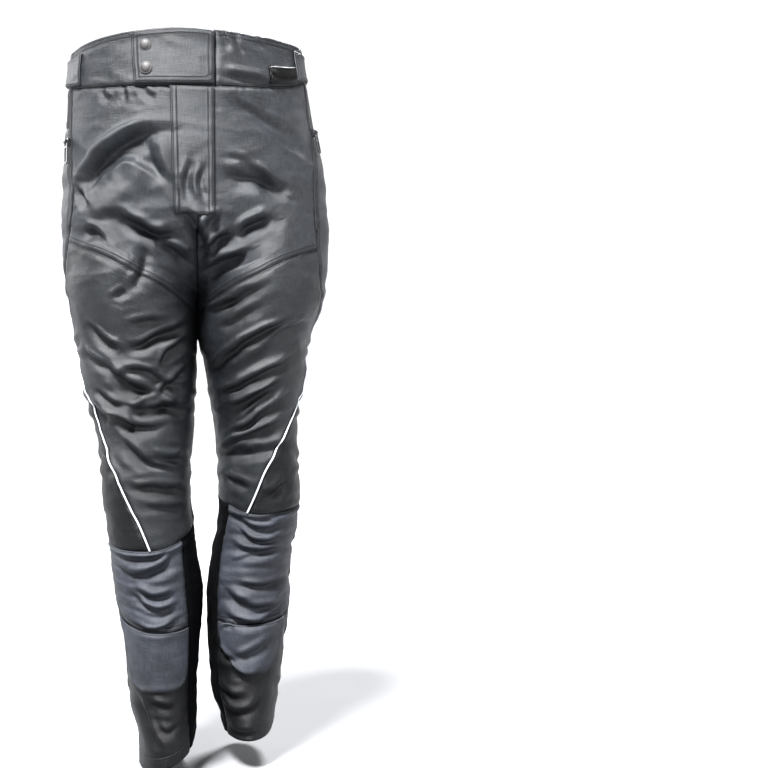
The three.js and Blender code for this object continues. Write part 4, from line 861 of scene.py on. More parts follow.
def off_rows(sheet):
    """How far each point lies beyond the first row of stitches along an edge, and beyond the second."""
    away = [np.full(sheet["points"].shape[:2], NO_ROW) for _ in range(2)]
    for edge, insets in TOPSTITCHED.get(pair_name(sheet), {}).items():
        run = from_edge(sheet["points"], edge)
        for i, inset in enumerate(insets):
            away[i] = np.minimum(away[i], run - inset)
    return np.stack(away, -1).reshape(-1, 2)


def mesh_object(name, vertices, faces, material, uvs=None):
    """A smooth mesh from points in millimetres."""
    mesh = bpy.data.meshes.new(name)
    mesh.from_pydata((np.asarray(vertices) * MM).tolist(), [], faces)
    mesh.materials.append(material)
    mesh.shade_smooth()
    for layer, uv in (uvs or {}).items():
        corners = np.zeros(len(mesh.loops), int)
        mesh.loops.foreach_get("vertex_index", corners)
        mesh.uv_layers.new(name=layer).data.foreach_set("uv", np.asarray(uv)[corners].reshape(-1))
    made = bpy.data.objects.new(name, mesh)
    bpy.context.collection.objects.link(made)
    return made


def grid_faces(rows, columns, turned_over):
    faces = []
    for r in range(rows - 1):
        for c in range(columns - 1):
            a = r * columns + c
            quad = (a, a + 1, a + columns + 1, a + columns)
            faces.append(quad[::-1] if turned_over else quad)
    return faces


def on_garment(made, slot):
    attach(made, "garment")


def sew(sheet, material, slot, thick=CLOTH, held="hung", rests_on=()):
    """The sheet as a thin shell that stands for its solid."""
    points, normals = sheet["points"], sheet["normals"]
    rows, columns = points.shape[:2]
    facet = np.cross(points[0, 1] - points[0, 0], points[1, 0] - points[0, 0])
    turned_over = facet @ normals[0, 0] < 0
    faces = grid_faces(rows, columns, turned_over)
    uvs = {"cloth": sheet["uv"].reshape(-1, 2), "rows": off_rows(sheet)}
    made = mesh_object("cloth_" + sheet["name"], points.reshape(-1, 3), faces, material, uvs)
    shell = made.modifiers.new("thickness", "SOLIDIFY")
    shell.thickness = thick * MM
    shell.offset = -1
    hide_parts(sheet["name"])
    on_garment(made, slot)
    wide, long, area = CUTS.get(sheet["name"]) or CUTS[pair_name(sheet)]
    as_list(rests_on)
    return sheet


def evenly(side, path, steps):
    """Points along a path in turn and height, evenly spaced on the cloth."""
    at = np.stack(np.broadcast_arrays(*path(np.linspace(0, 1, PATH_POINTS))), -1)
    run = run_of(plain(side, at[:, 0], at[:, 1]))
    return read_along(np.linspace(0, run[-1], steps * FINER + 1), run, at)


def down(side, seam, top, foot, steps):
    return evenly(side, lambda t: (seam(mix(top, foot, t)), mix(top, foot, t)), steps)


def around(side, edge, start, end, steps):
    return evenly(side, lambda t: (mix(start, end, t), edge(mix(start, end, t))), steps)


def straight(side, start, end, steps):
    return evenly(side, lambda t: (mix(start[0], end[0], t), mix(start[1], end[1], t)), steps)


def join(*lines):
    return np.concatenate([lines[0]] + [line[1:] for line in lines[1:]])


def along_line(line, share):
    return read_along(np.clip(share, 0, 1) * (len(line) - 1), np.arange(len(line)), line)


def length_of(side, line):
    here = plain(side, line[:, 0], line[:, 1])
    return np.linalg.norm(np.diff(here, axis=0), axis=1).sum()


def between_seams(side, left, right, top, foot, rows=None):
    """A grid of turns and heights between four seams; left and right run down, top and foot run across."""
    tall = max(length_of(side, left), length_of(side, right))
    wide = max(length_of(side, top), length_of(side, foot))
    rows = rows or max(int(tall / QUAD), 2)
    columns = max(int(wide / QUAD), 2)
    v = np.linspace(0, 1, rows + 1)[:, None]
    u = np.linspace(0, 1, columns + 1)[None, :]
    edges = {name: along_line(line, share) for name, line, share in (
        ("left", left, v[:, 0]), ("right", right, v[:, 0]), ("top", top, u[0]), ("foot", foot, u[0])
    )}
    grid = []
    for c in (0, 1):
        l, r = edges["left"][:, c][:, None], edges["right"][:, c][:, None]
        t, f = edges["top"][:, c][None, :], edges["foot"][:, c][None, :]
        ruled = mix(l, r, u)
        grid.append(ruled + (1 - v) * (t - mix(l[0], r[0], u)) + v * (f - mix(l[-1], r[-1], u)))
    return grid


def turn_at(side, across, z, face):
    """The turn at which the cloth is this far from the centre seam, on the front (1) or the back (-1)."""
    z = np.asarray(z, float)
    low = np.zeros(z.shape)
    high = np.full(z.shape, 180.0)
    for _ in range(HALVINGS):
        middle = (low + high) / 2
        out = radius(side, middle * face, z) * np.cos(np.radians(middle))
        reach = of_side(side, LEG_SECTIONS, z, 1) + out
        low = np.where(reach > across, middle, low)
        high = np.where(reach > across, high, middle)
    return low * face


def meet(seam, edge, start):
    """The height at which a seam that runs down meets an edge that runs round, looked for from one near it."""
    z = start
    for _ in range(HALVINGS):
        z = mix(z, float(edge(seam(z))), MEET_STEP)
    return z


def gathers(count, high):
    """Rows that pucker the knee crosswise, sag in the middle and die out at its seams, below a rolled top."""
    def wave(across, along):
        sag = along + KNEE_SAG * np.sin(np.pi * across)
        swell = np.sin(2 * np.pi * count * sag) + KNEE_BETWEEN * np.sin(4 * np.pi * count * sag + 1)
        roll = KNEE_ROLL * hump(along - KNEE_ROLL_AT, KNEE_ROLL_HALF)
        inner = np.sin(np.pi * across) ** KNEE_FULL
        return high * swell * (KNEE_ENDS + (1 - KNEE_ENDS) * inner) + roll
    return wave


def ribs(across, along):
    """Raised courses with narrow valleys between them, drawn together unevenly at both ends."""
    end = hump(across, RIB_END) + hump(1 - across, RIB_END)
    pulled = along + RIB_PULL * end * np.sin(2 * np.pi * RIB_PULLS * along) * np.sin(np.pi * along)
    return -RIB_DEEP * (1 - np.abs(np.cos(np.pi * RIBS * pulled)) ** RIB_ROUND)


def hem_level(side):
    base, outer_drop, front_drop = HEM[side]
    def level(turn):
        c = np.cos(np.radians(turn))
        return base - outer_drop * c - front_drop * (1 - c * c)
    return level


def make_half(side, word, finish):
    """All the panels of one side, between the seams that they share. Gives back the sheets and the seams."""
    def level(rows):
        return lambda turn: read(rows, turn)

    def seam(rows):
        return lambda z: read(rows, z)

    outseam, piping = seam(OUTSEAM[side]), seam(PIPING_SEAM)
    sweep_outer, sweep_inner = seam(SWEEP_OUTER), seam(SWEEP_INNER)
    shin_inner, calf_seam = seam(SHIN_INNER[side]), seam(CALF_SEAM)
    waist, ribbed, yoke = level(WAIST_SEAM[side]), level(RIBBED_FOOT), level(YOKE_SEAM)
    knee, knee_foot, hem = level(KNEE_SEAM[side]), level(KNEE_FOOT[side]), hem_level(side)
    front = lambda z: turn_at(side, 0, z, 1)
    back = lambda z: turn_at(side, 0, z, -1)
    inseam = lambda z: 180.0 + 0 * z
    inseam_back = lambda z: -180.0 + 0 * z
    shin_outer = lambda z: SHIN_OUTER_TURN + 0 * z
    calf_inner = lambda z: CALF_INNER_TURN + 0 * z
    gusset_level = lambda turn: GUSSET_Z + 0 * turn
    join_level = lambda turn: SWEEP_JOIN_Z + 0 * turn

    # The corners, each looked for from a height near it.
    waist_z, ribbed_z = meet(outseam, waist, -30), meet(outseam, ribbed, -84)
    yoke_z, knee_z = meet(outseam, yoke, -250), meet(outseam, knee, -650)
    sweep_z, seat_z = meet(sweep_outer, ribbed, -90), meet(sweep_inner, ribbed, -95)
    front_z, back_waist_z, back_z = meet(front, waist, -40), meet(back, waist, -14), meet(back, ribbed, -103)
    knee_inner_z, knee_inner_foot_z = meet(shin_inner, knee, -650), meet(shin_inner, knee_foot, -760)
    hem_inner_z, hem_calf_z = meet(shin_inner, hem, -930), meet(calf_seam, hem, -930)
    knee_back_z = float(knee(CALF_INNER_TURN))

    # The seams between the corners. The last number of each is how many stretches it has in the solids.
    outseam_waist = down(side, outseam, waist_z, ribbed_z, 2)
    outseam_hip = down(side, outseam, ribbed_z, yoke_z, 7)
    outseam_strip = down(side, outseam, yoke_z, STRIP_FOOT_Z, 7)
    outseam_thigh = down(side, outseam, STRIP_FOOT_Z, knee_z, 10)
    strip_ends = [(float(line(STRIP_FOOT_Z)), STRIP_FOOT_Z) for line in (outseam, piping)]
    strip_foot = straight(side, *strip_ends, 3)
    bend = (float(piping(PIPING_BEND_Z)), PIPING_BEND_Z)
    piping_down = down(side, piping, PIPING_BEND_Z, STRIP_FOOT_Z, 7)
    sweep_top = down(side, sweep_outer, sweep_z, PIPING_START[1], 4)
    sweep_edge = down(side, sweep_outer, PIPING_START[1], knee_back_z + 12, 17)
    sweep_end = join(sweep_edge, straight(side, sweep_edge[-1], (CALF_INNER_TURN, knee_back_z), 1))
    sweep_seat = down(side, sweep_inner, seat_z, GUSSET_Z, 9)
    sweep_gusset = down(side, sweep_inner, GUSSET_Z, SWEEP_JOIN_Z, 2)
    inseam_thigh = down(side, inseam_back, SWEEP_JOIN_Z, float(knee(-180)), 11)
    tab_edge = float(turn_at(side, TAB_EDGE[side], front_z, 1))
    waist_front = join(
        around(side, waist, float(front(front_z)), tab_edge, TAB_STEPS[side][0]),
        around(side, waist, tab_edge, float(outseam(waist_z)), TAB_STEPS[side][1]),
    )
    waist_back = around(side, waist, float(outseam(waist_z)), float(back(back_waist_z)), 7)
    ribbed_side = around(side, ribbed, float(outseam(ribbed_z)), float(sweep_outer(sweep_z)), 3)
    ribbed_sweep = around(side, ribbed, float(sweep_outer(sweep_z)), float(sweep_inner(seat_z)), 5)
    ribbed_seat = around(side, ribbed, float(sweep_inner(seat_z)), float(back(back_z)), 5)
    yoke_line = around(side, yoke, 180, float(outseam(yoke_z)), 8)
    gusset_line = around(side, gusset_level, float(sweep_inner(GUSSET_Z)), -180, 5)
    gusset_foot = around(side, join_level, float(sweep_inner(SWEEP_JOIN_Z)), -180, 5)
    knee_inseam = around(side, knee, 180, float(shin_inner(knee_inner_z)), 3)
    knee_front = around(side, knee, float(shin_inner(knee_inner_z)), float(outseam(knee_z)), 5)
    knee_outer = around(side, knee, float(outseam(knee_z)), SHIN_OUTER_TURN, 4)
    knee_calf = around(side, knee, SHIN_OUTER_TURN, CALF_INNER_TURN, 6)
    knee_back = around(side, knee, CALF_INNER_TURN, -180, 5)
    shin_line = around(side, knee_foot, float(shin_inner(knee_inner_foot_z)), SHIN_OUTER_TURN, 9)
    knee_inner_edge = down(side, shin_inner, knee_inner_z, knee_inner_foot_z, 20)
    knee_outer_z, knee_outer_foot_z = float(knee(SHIN_OUTER_TURN)), float(knee_foot(SHIN_OUTER_TURN))
    knee_outer_edge = down(side, shin_outer, knee_outer_z, knee_outer_foot_z, 20)
    shin_inner_edge = down(side, shin_inner, knee_inner_foot_z, hem_inner_z, 8)
    shin_outer_edge = down(side, shin_outer, knee_outer_foot_z, float(hem(SHIN_OUTER_TURN)), 8)
    # The outer calf starts at the nearest even one of the solids' points to its top.
    coarse = knee_outer_edge[::FINER]
    fork = 2 * round(int(np.argmax(coarse[:, 1] <= CALF_TOP_Z)) / 2) * FINER
    outer_calf_edge = join(knee_outer_edge[fork::2], shin_outer_edge[::2])
    fork_at = knee_outer_edge[fork]
    corner = (float(calf_seam(CALF_CORNER_Z)), CALF_CORNER_Z)
    calf_top = evenly(
        side, lambda t: (mix(fork_at[0], corner[0], t), mix(fork_at[1], corner[1], t**1.6)), 5
    )
    calf_line = down(side, calf_seam, CALF_CORNER_Z, hem_calf_z, 12)
    calf_inner_edge = down(side, calf_inner, knee_back_z, float(hem(CALF_INNER_TURN)), 16)
    wrapped = np.array([360.0, 0.0])

    sheets = []

    def piece(name, material, slot, edges, held="hung", rows=None, **options):
        turn, z = between_seams(side, *edges, rows=rows)
        sheet = laid(f"{name}_{word}", side, turn, z, **options)
        sheets.append(sew(sheet, finish[material], slot, held=held))

    nylon, grey = "black_nylon", "grey_nylon"
    piece("front_upper", "black", nylon, (
        down(side, front, front_z, float(yoke(180)), 9), join(outseam_waist, outseam_hip),
        waist_front, yoke_line,
    ))
    piece("thigh_front", "thigh", nylon, (
        down(side, inseam, float(yoke(180)), float(knee(180)), 17),
        join(outseam_strip, outseam_thigh), yoke_line, join(knee_inseam, knee_front),
    ))
    piece("side_strip", "black", nylon, (
        join(outseam_hip, outseam_strip),
        join(sweep_top, straight(side, PIPING_START, bend, 3), piping_down), ribbed_side, strip_foot,
    ))
    piece("outer_thigh", "dark", nylon, (
        join(piping_down, straight(side, strip_ends[1], strip_ends[0], 1), outseam_thigh),
        sweep_end, straight(side, bend, PIPING_START, 10), join(knee_outer, knee_calf),
    ))
    piece("sweep", "grey", grey, (
        join(sweep_top, sweep_end), join(sweep_seat, sweep_gusset, inseam_thigh), ribbed_sweep, knee_back
    ))
    piece("seat", "seat", nylon, (
        sweep_seat, down(side, back, back_z, GUSSET_Z, 9), ribbed_seat, gusset_line,
    ))
    piece("gusset", "seat", nylon, (
        sweep_gusset, down(side, inseam_back, GUSSET_Z, SWEEP_JOIN_Z, 2), gusset_line, gusset_foot
    ))
    piece("ribbed_back", "ribbed", "ribbed_elastic", (
        down(side, outseam, waist_z, ribbed_z, 34), down(side, back, back_waist_z, back_z, 34), waist_back,
        along_line(join(ribbed_side, ribbed_sweep, ribbed_seat), np.linspace(0, 1, 100)),
    ), held="gathered", wave=ribs, rows=RIBS * RIB_ROWS, folded=RIBS_FOLDED)
    piece("knee", "knee", grey, (
        knee_inner_edge, knee_outer_edge, join(knee_front, knee_outer), shin_line
    ), held="gathered", wave=gathers(KNEE_GATHERS[side], KNEE_HIGH), rows=KNEE_ROWS)
    piece("shin", "dark", nylon, (
        shin_inner_edge, shin_outer_edge, shin_line,
        around(side, hem, float(shin_inner(hem_inner_z)), SHIN_OUTER_TURN, 9),
    ), seams=ABOVE_HEM)
    piece("inner_leg", "softshell", "stretch_softshell", (
        join(knee_inner_edge[::2], shin_inner_edge), calf_inner_edge + wrapped,
        join(knee_inseam[::-1], (knee_back + wrapped)[::-1]),
        around(side, hem, float(shin_inner(hem_inner_z)), CALF_INNER_TURN + 360, 8),
    ), seams=ABOVE_HEM)
    piece("calf", "calf", "heavy_weave", (
        join(knee_outer_edge[: fork + 1 : 2], calf_top, calf_line), calf_inner_edge, knee_calf,
        around(side, hem, float(calf_seam(hem_calf_z)), CALF_INNER_TURN, 6),
    ), seams=ABOVE_HEM)
    piece("outer_calf", "dark", nylon, (
        outer_calf_edge, calf_line, calf_top,
        around(side, hem, SHIN_OUTER_TURN, float(calf_seam(hem_calf_z)), 5),
    ), seams=ABOVE_HEM)
    seams = {
        "waist_front": waist_front, "waist_back": waist_back, "tab_edge": tab_edge,
        "zip": join(outseam_waist, outseam_hip),
        "piping": join(straight(side, PIPING_START, bend, 5), piping_down, outseam_thigh),
    }
    return sheets, seams


def waist_columns(stretches):
    """Sides and turns along the waistband, through stretches that each lie on one side."""
    sides, turns = [], []
    for side, start, end in stretches:
        count = max(int(abs(end - start) * WAIST_MM_A_TURN / QUAD), 4)
        run = np.linspace(start, end, count + 1)
        sides += [side] * len(run)
        turns += list(run)
    return np.array(sides), np.array(turns)


def band_piece(name, stretches, low, high, material, slot, **options):
    """A piece of the waistband, or one laid on it, between two shares of the band's height."""
    sides, turns = waist_columns(stretches)
    rows = max(int((high - low) * BAND_TALL / QUAD), 8)
    share = np.linspace(high, low, rows + 1)[:, None]
    z = mix(of_side(sides, WAIST_SEAM, turns), of_side(sides, WAIST_TOP, turns), share)
    side, turn = np.broadcast_arrays(sides, turns + 0 * z)
    sewn = {key: options.pop(key) for key in ("thick", "held", "rests_on") if key in options}
    return sew(laid(name, side, turn, z, **options), material, slot, **sewn)


def rolled(wide, tall):
    """The edge of a piece sewn on top turns down and is thicker just inside, where it is folded under."""
    def wave(across, along):
        inset = np.minimum(np.minimum(across, 1 - across) * wide, np.minimum(along, 1 - along) * tall)
        swell = TURNED_EDGE["high"] * hump(inset - TURNED_EDGE["at"], TURNED_EDGE["half"])
        return swell - TURNED_EDGE["down"] * hump(inset, TURNED_EDGE["down_half"])
    return wave


def make_waistband(seams, finish):
    side_turn = {side: seams[side]["waist_front"][-1, 0] for side in (RIGHT, LEFT)}
    front_turn = {side: seams[side]["waist_front"][0, 0] - CENTRE_STEP for side in (RIGHT, LEFT)}
    back_turn = {side: seams[side]["waist_back"][-1, 0] + CENTRE_STEP for side in (RIGHT, LEFT)}
    tab_turn = {side: seams[side]["tab_edge"] for side in (RIGHT, LEFT)}
    past_fly = (LEFT, tab_turn[LEFT], front_turn[LEFT])
    sheets = []
    for name, stretches, sewn in (
        ("front_right", (past_fly, (RIGHT, front_turn[RIGHT], side_turn[RIGHT])), ("foot",)),
        ("front_left", ((LEFT, tab_turn[LEFT], side_turn[LEFT]),), ("foot", "left")),
        ("back", (
            (RIGHT, side_turn[RIGHT], back_turn[RIGHT]), (LEFT, back_turn[LEFT], side_turn[LEFT]),
        ), ("foot", "left", "right")),
    ):
        sheets.append(band_piece(
            f"waistband_{name}", stretches, 0, 1, finish["black"], "black_nylon",
            lift=BAND_PROUD, seams=sewn, thick=BAND,
        ))
    over = {"lift": BAND_PROUD + LAYER_GAP + STRAP, "seams": (), "thick": STRAP, "held": "laid"}
    sheets.append(band_piece(
        "closure_tab", (past_fly, (RIGHT, front_turn[RIGHT], tab_turn[RIGHT])), *TAB_LEVELS,
        finish["black"], "black_nylon",
        wave=rolled(*TURNED_UNDER["tab"]), rests_on="waistband_front_right", **over,
    ))
    for name, side, start, end, low, high, material, slot, under in BAND_LAYERS:
        wide, tall = abs(end - start) * WAIST_MM_A_TURN, (high - low) * BAND_TALL
        sheets.append(band_piece(
            name, ((side, start, end),), low, high, finish[material], slot,
            wave=rolled(wide, tall), rests_on=under, **over,
        ))
    return sheets


def make_fly(finish):
    """The placket over the fly zip, from the waist seam down to its bar tacks."""
    share = np.linspace(0, 1, FLY_GRID[0])[:, None]
    across = np.linspace(0, 1, FLY_GRID[1])[None, :]
    z = mix(FLY["top_z"], FLY["foot_z"], share) + 0 * across
    edges = [mix(top, foot, share) for top, foot in zip(FLY["top_x"], FLY["foot_x"])]
    x = mix(*edges, across)
    from_seam = x - read(SEAT_SECTIONS, z, 1)
    side = np.where(from_seam < 0, RIGHT, LEFT)
    turn = turn_at(side, np.abs(from_seam), z, 1)
    sheet = laid(
        "fly_placket", side, turn, z,
        lift=3 * LAYER_GAP + PATCH, wave=rolled(*TURNED_UNDER["placket"]), seams=(),
    )
    return sew(sheet, finish["black"], "black_nylon", thick=PATCH, held="laid", rests_on="front_upper_right")


def make_shin_patch(side, word, finish):
    rows = SHIN_PATCHES[side]
    z = np.linspace(rows[0][0], rows[-1][0], PATCH_GRID[0])[:, None]
    share = np.linspace(0, 1, PATCH_GRID[1])[None, :]
    turn = mix(read(rows, z, 1), read(rows, z, 2), share)
    # Its top is caught in the seam at the knee panel's foot, which sags.
    below = (z - rows[-1][0]) / (rows[0][0] - rows[-1][0])
    sag = read(KNEE_FOOT[side], turn) - SEAM_GAP - rows[0][0]
    z = z + sag * ease(below * (1 + PATCH_LEVEL) - PATCH_LEVEL)
    sheet = laid(
        f"shin_patch_{word}", side, turn, z,
        lift=2 * LAYER_GAP + PATCH, wave=rolled(*TURNED_UNDER["patch"]), seams=(),
    )
    return sew(sheet, finish["knee"], "grey_nylon", thick=PATCH, held="laid", rests_on=f"shin_{word}")


def seam_line(side, line, lift):
    """Points and outward directions along a seam, for what is sewn into it or over it."""
    run = np.linspace(0, 1, max(int(length_of(side, line) / LINE_STEP), 4))
    line = along_line(line, run)
    sides = np.full(len(line), side)
    base = plain(sides, line[:, 0], line[:, 1])
    normals = outward(sides, line[:, 0], line[:, 1])
    sunk = inward(sides, base, normals) * settled(base, normals, sides)[:, None]
    return base + normals * lift - sunk, normals


def tube_faces(rings, count):
    """The faces of a closed tube through rings of points, with both ends shut."""
    faces = []
    for r in range(rings - 1):
        for c in range(count):
            n = (c + 1) % count
            faces.append((r * count + c, r * count + n, (r + 1) * count + n, (r + 1) * count + c))
    faces.append(tuple(range(count))[::-1])
    faces.append(tuple((rings - 1) * count + c for c in range(count)))
    return faces


def bead(name, line, profile, material, slot, replaced):
    """A strip along a seam, whose cross-section is a list of distances across and out."""
    points, normals = line
    along = unit(np.gradient(points, axis=0))
    across = unit(np.cross(along, normals))
    rings = np.stack([points + across * u + normals * v for u, v in profile], 1)
    made = mesh_object(name, rings.reshape(-1, 3), tube_faces(len(points), len(profile)), material)
    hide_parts(replaced)
    on_garment(made, slot)


def dome(half, high, steps=7):
    """A low rounded cross-section with a flat foot."""
    angles = np.linspace(0, math.pi, steps)
    return [(half * math.cos(a), high * math.sin(a)) for a in angles]


def add_piping(side, word, seams, finish):
    line = seam_line(side, seams["piping"], LAYER_GAP)
    profile = dome(CORD_HALF, CORD_HIGH)
    bead(f"reflective_cord_{word}", line, profile, finish["piping"], "reflective_piping", f"piping_{word}")


def add_zip(side, word, seams, finish, sewing):
    line = seams["zip"][seams["zip"][:, 1] > ZIP_FOOT_Z]
    points, normals = seam_line(side, line, SEAM_GAP)
    tape = finish["zip tape"]
    bead(f"zip_cloth_{word}", (points, normals), TAPE_PROFILE, tape, "zip_black", f"zip_tape_{word}")
    across = unit(np.cross(unit(np.gradient(points, axis=0)), normals))
    for half in (-1, 1):
        row = points + across * half * COIL_OUT + normals * COIL_OUT
        sewing["coil"].append(lay_dashes(row, normals, COIL))


def lay_dashes(points, normals, size):
    """Small raised dashes along a line, such as stitches or zip teeth: their corners and faces."""
    run = run_of(points)
    middles = np.arange(size["pitch"] / 2, run[-1], size["pitch"])
    at = read_along(middles, run, points)
    out = unit(read_along(middles, run, normals))
    along = unit(read_along(middles, run, np.gradient(points, axis=0)))
    side = unit(np.cross(along, out))
    corners = []
    for lift, share in ((-DASH_SUNK, 1.0), (size["high"], DASH_TOP)):
        for u, v in ((-1, -1), (1, -1), (1, 1), (-1, 1)):
            sideways = side * u * size["half"] * share
            lengthways = along * v * size["long"] / 2 * (0.5 + share / 2)
            corners.append(at + sideways + lengthways + out * lift)
    return np.stack(corners, 1)


DASH_FACES = ((4, 5, 6, 7), (0, 1, 5, 4), (1, 2, 6, 5), (2, 3, 7, 6), (3, 0, 4, 7))


def sew_dashes(name, groups, material, slot):
    corners = np.concatenate(groups).reshape(-1, 3)
    count = len(corners) // 8
    faces = [tuple(8 * i + k for k in face) for i in range(count) for face in DASH_FACES]
    on_garment(mesh_object(name, corners, faces, material), slot)


def beside_edge(sheet, edge, inset):
    """A line on a sheet, a little way in from one of its edges."""
    points, normals = sheet["points"], sheet["normals"]
    if edge in ("top", "foot"):
        points, normals = points.transpose(1, 0, 2), normals.transpose(1, 0, 2)
    if edge in ("right", "foot"):
        points, normals = points[:, ::-1], normals[:, ::-1]
    line, out = [], []
    for row, hints in zip(points, normals):
        run = run_of(row)
        line.append(read_along(inset, run, row))
        out.append(read_along(inset, run, hints))
    line, out = np.array(line), unit(np.array(out))
    run = run_of(line)
    end = inset * CORNER_LEFT
    keep = (run > end) & (run < run[-1] - end)
    return line[keep], out[keep]


def topstitch(sheet, sewing):
    """Rows of thread beside the edges of a sheet."""
    for edge, insets in TOPSTITCHED.get(pair_name(sheet), {}).items():
        for inset in insets:
            line, out = beside_edge(sheet, edge, inset)
            if len(line) > 3:
                sewing["thread"].append(lay_dashes(line, out, STITCH))


def lathe(name, profile, place, normal, material, slot, replaced, steps=48):
    """A turned part from radii and heights, set on the cloth."""
    turn = Vector((0, 0, 1)).rotation_difference(Vector(normal)).to_matrix()
    vertices = []
    for r, z in profile:
        for i in range(steps):
            angle = 2 * math.pi * i / steps
            spun = Vector((r * math.cos(angle), r * math.sin(angle), z))
            vertices.append(tuple(turn @ spun + Vector(place)))
    made = mesh_object(name, vertices, tube_faces(len(profile), steps), material)
    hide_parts(replaced)
    on_garment(made, slot)


def add_snaps(finish):
    side = np.array([RIGHT])
    for name, z in SNAPS:
        height = np.array([float(z)])
        turn = turn_at(side, SNAP_ACROSS, height, 1)
        base, normal = plain(side, turn, height), outward(side, turn, height)
        lift = BAND_PROUD + LAYER_GAP + STRAP
        place = (base + normal * (lift - settled(base, normal, side)))[0]
        lathe(f"cap_{name}", SNAP_PROFILE, place, normal[0], finish["snap"], "snap_metal", name)


def tint(hex_colour):
    """A linear colour from an sRGB hex value."""
    levels = [int(hex_colour[i : i + 2], 16) / 255 for i in (1, 3, 5)]
    linear = [v / 12.92 if v <= 0.04045 else ((v + 0.055) / 1.055) ** 2.4 for v in levels]
    return (*linear, 1.0)


def node(tree, kind, sockets=None, **settings):
    """Adds a shader node. sockets gives an input's value, or the output that it is linked to."""
    made = tree.nodes.new("ShaderNode" + kind)
    for name, value in settings.items():
        setattr(made, name, value)
    for socket, value in (sockets or {}).items():
        if isinstance(value, bpy.types.NodeSocket):
            tree.links.new(value, made.inputs[socket])
        else:
            made.inputs[socket].default_value = value
    return made


def surface(name, sockets):
    """A new material whose shader takes these values."""
    material = bpy.data.materials.new(name)
    material.use_nodes = True
    tree = material.node_tree
    shader = tree.nodes["Principled BSDF"]
    for socket, value in sockets.items():
        shader.inputs[socket].default_value = value
    return material, tree, shader


def thread_wave(tree, axis, pitch):
    """A wave across the cloth in millimetres of its own cut."""
    place = node(tree, "UVMap", uv_map="cloth").outputs["UV"]
    split = node(tree, "SeparateXYZ", {0: place})
    turned = node(tree, "Math", {0: split.outputs[axis], 1: 2 * math.pi / pitch}, operation="MULTIPLY")
    return node(tree, "Math", {0: turned.outputs[0]}, operation="SINE").outputs[0]


def slubs(tree, across, along):
    """Uneven yarns: noise that is drawn out along one direction of the cloth."""
    place = node(tree, "UVMap", uv_map="cloth").outputs["UV"]
    pitch = (1 / across, 1 / along, 0.0)
    drawn = node(tree, "VectorMath", {0: place, 1: pitch}, operation="MULTIPLY").outputs[0]
    return node(tree, "TexNoise", {"Vector": drawn, "Scale": 1.0, "Detail": 2.0}).outputs[0]


def stitched_grooves(tree):
    """1 where a row of stitches pulls the cloth in, fading to 0 within a millimetre."""
    place = node(tree, "UVMap", uv_map="rows").outputs["UV"]
    split = node(tree, "SeparateXYZ", {0: place})
    grooves = []
    for axis in (0, 1):
        off = node(tree, "Math", {0: split.outputs[axis]}, operation="ABSOLUTE").outputs[0]
        grooves.append(node(tree, "MapRange", {
            "Value": off, "From Min": GROOVE_HALF[0], "From Max": GROOVE_HALF[1],
            "To Min": 1.0, "To Max": 0.0,
        }, interpolation_type="SMOOTHSTEP").outputs[0])
    return node(tree, "Math", {0: grooves[0], 1: grooves[1]}, operation="MAXIMUM").outputs[0]


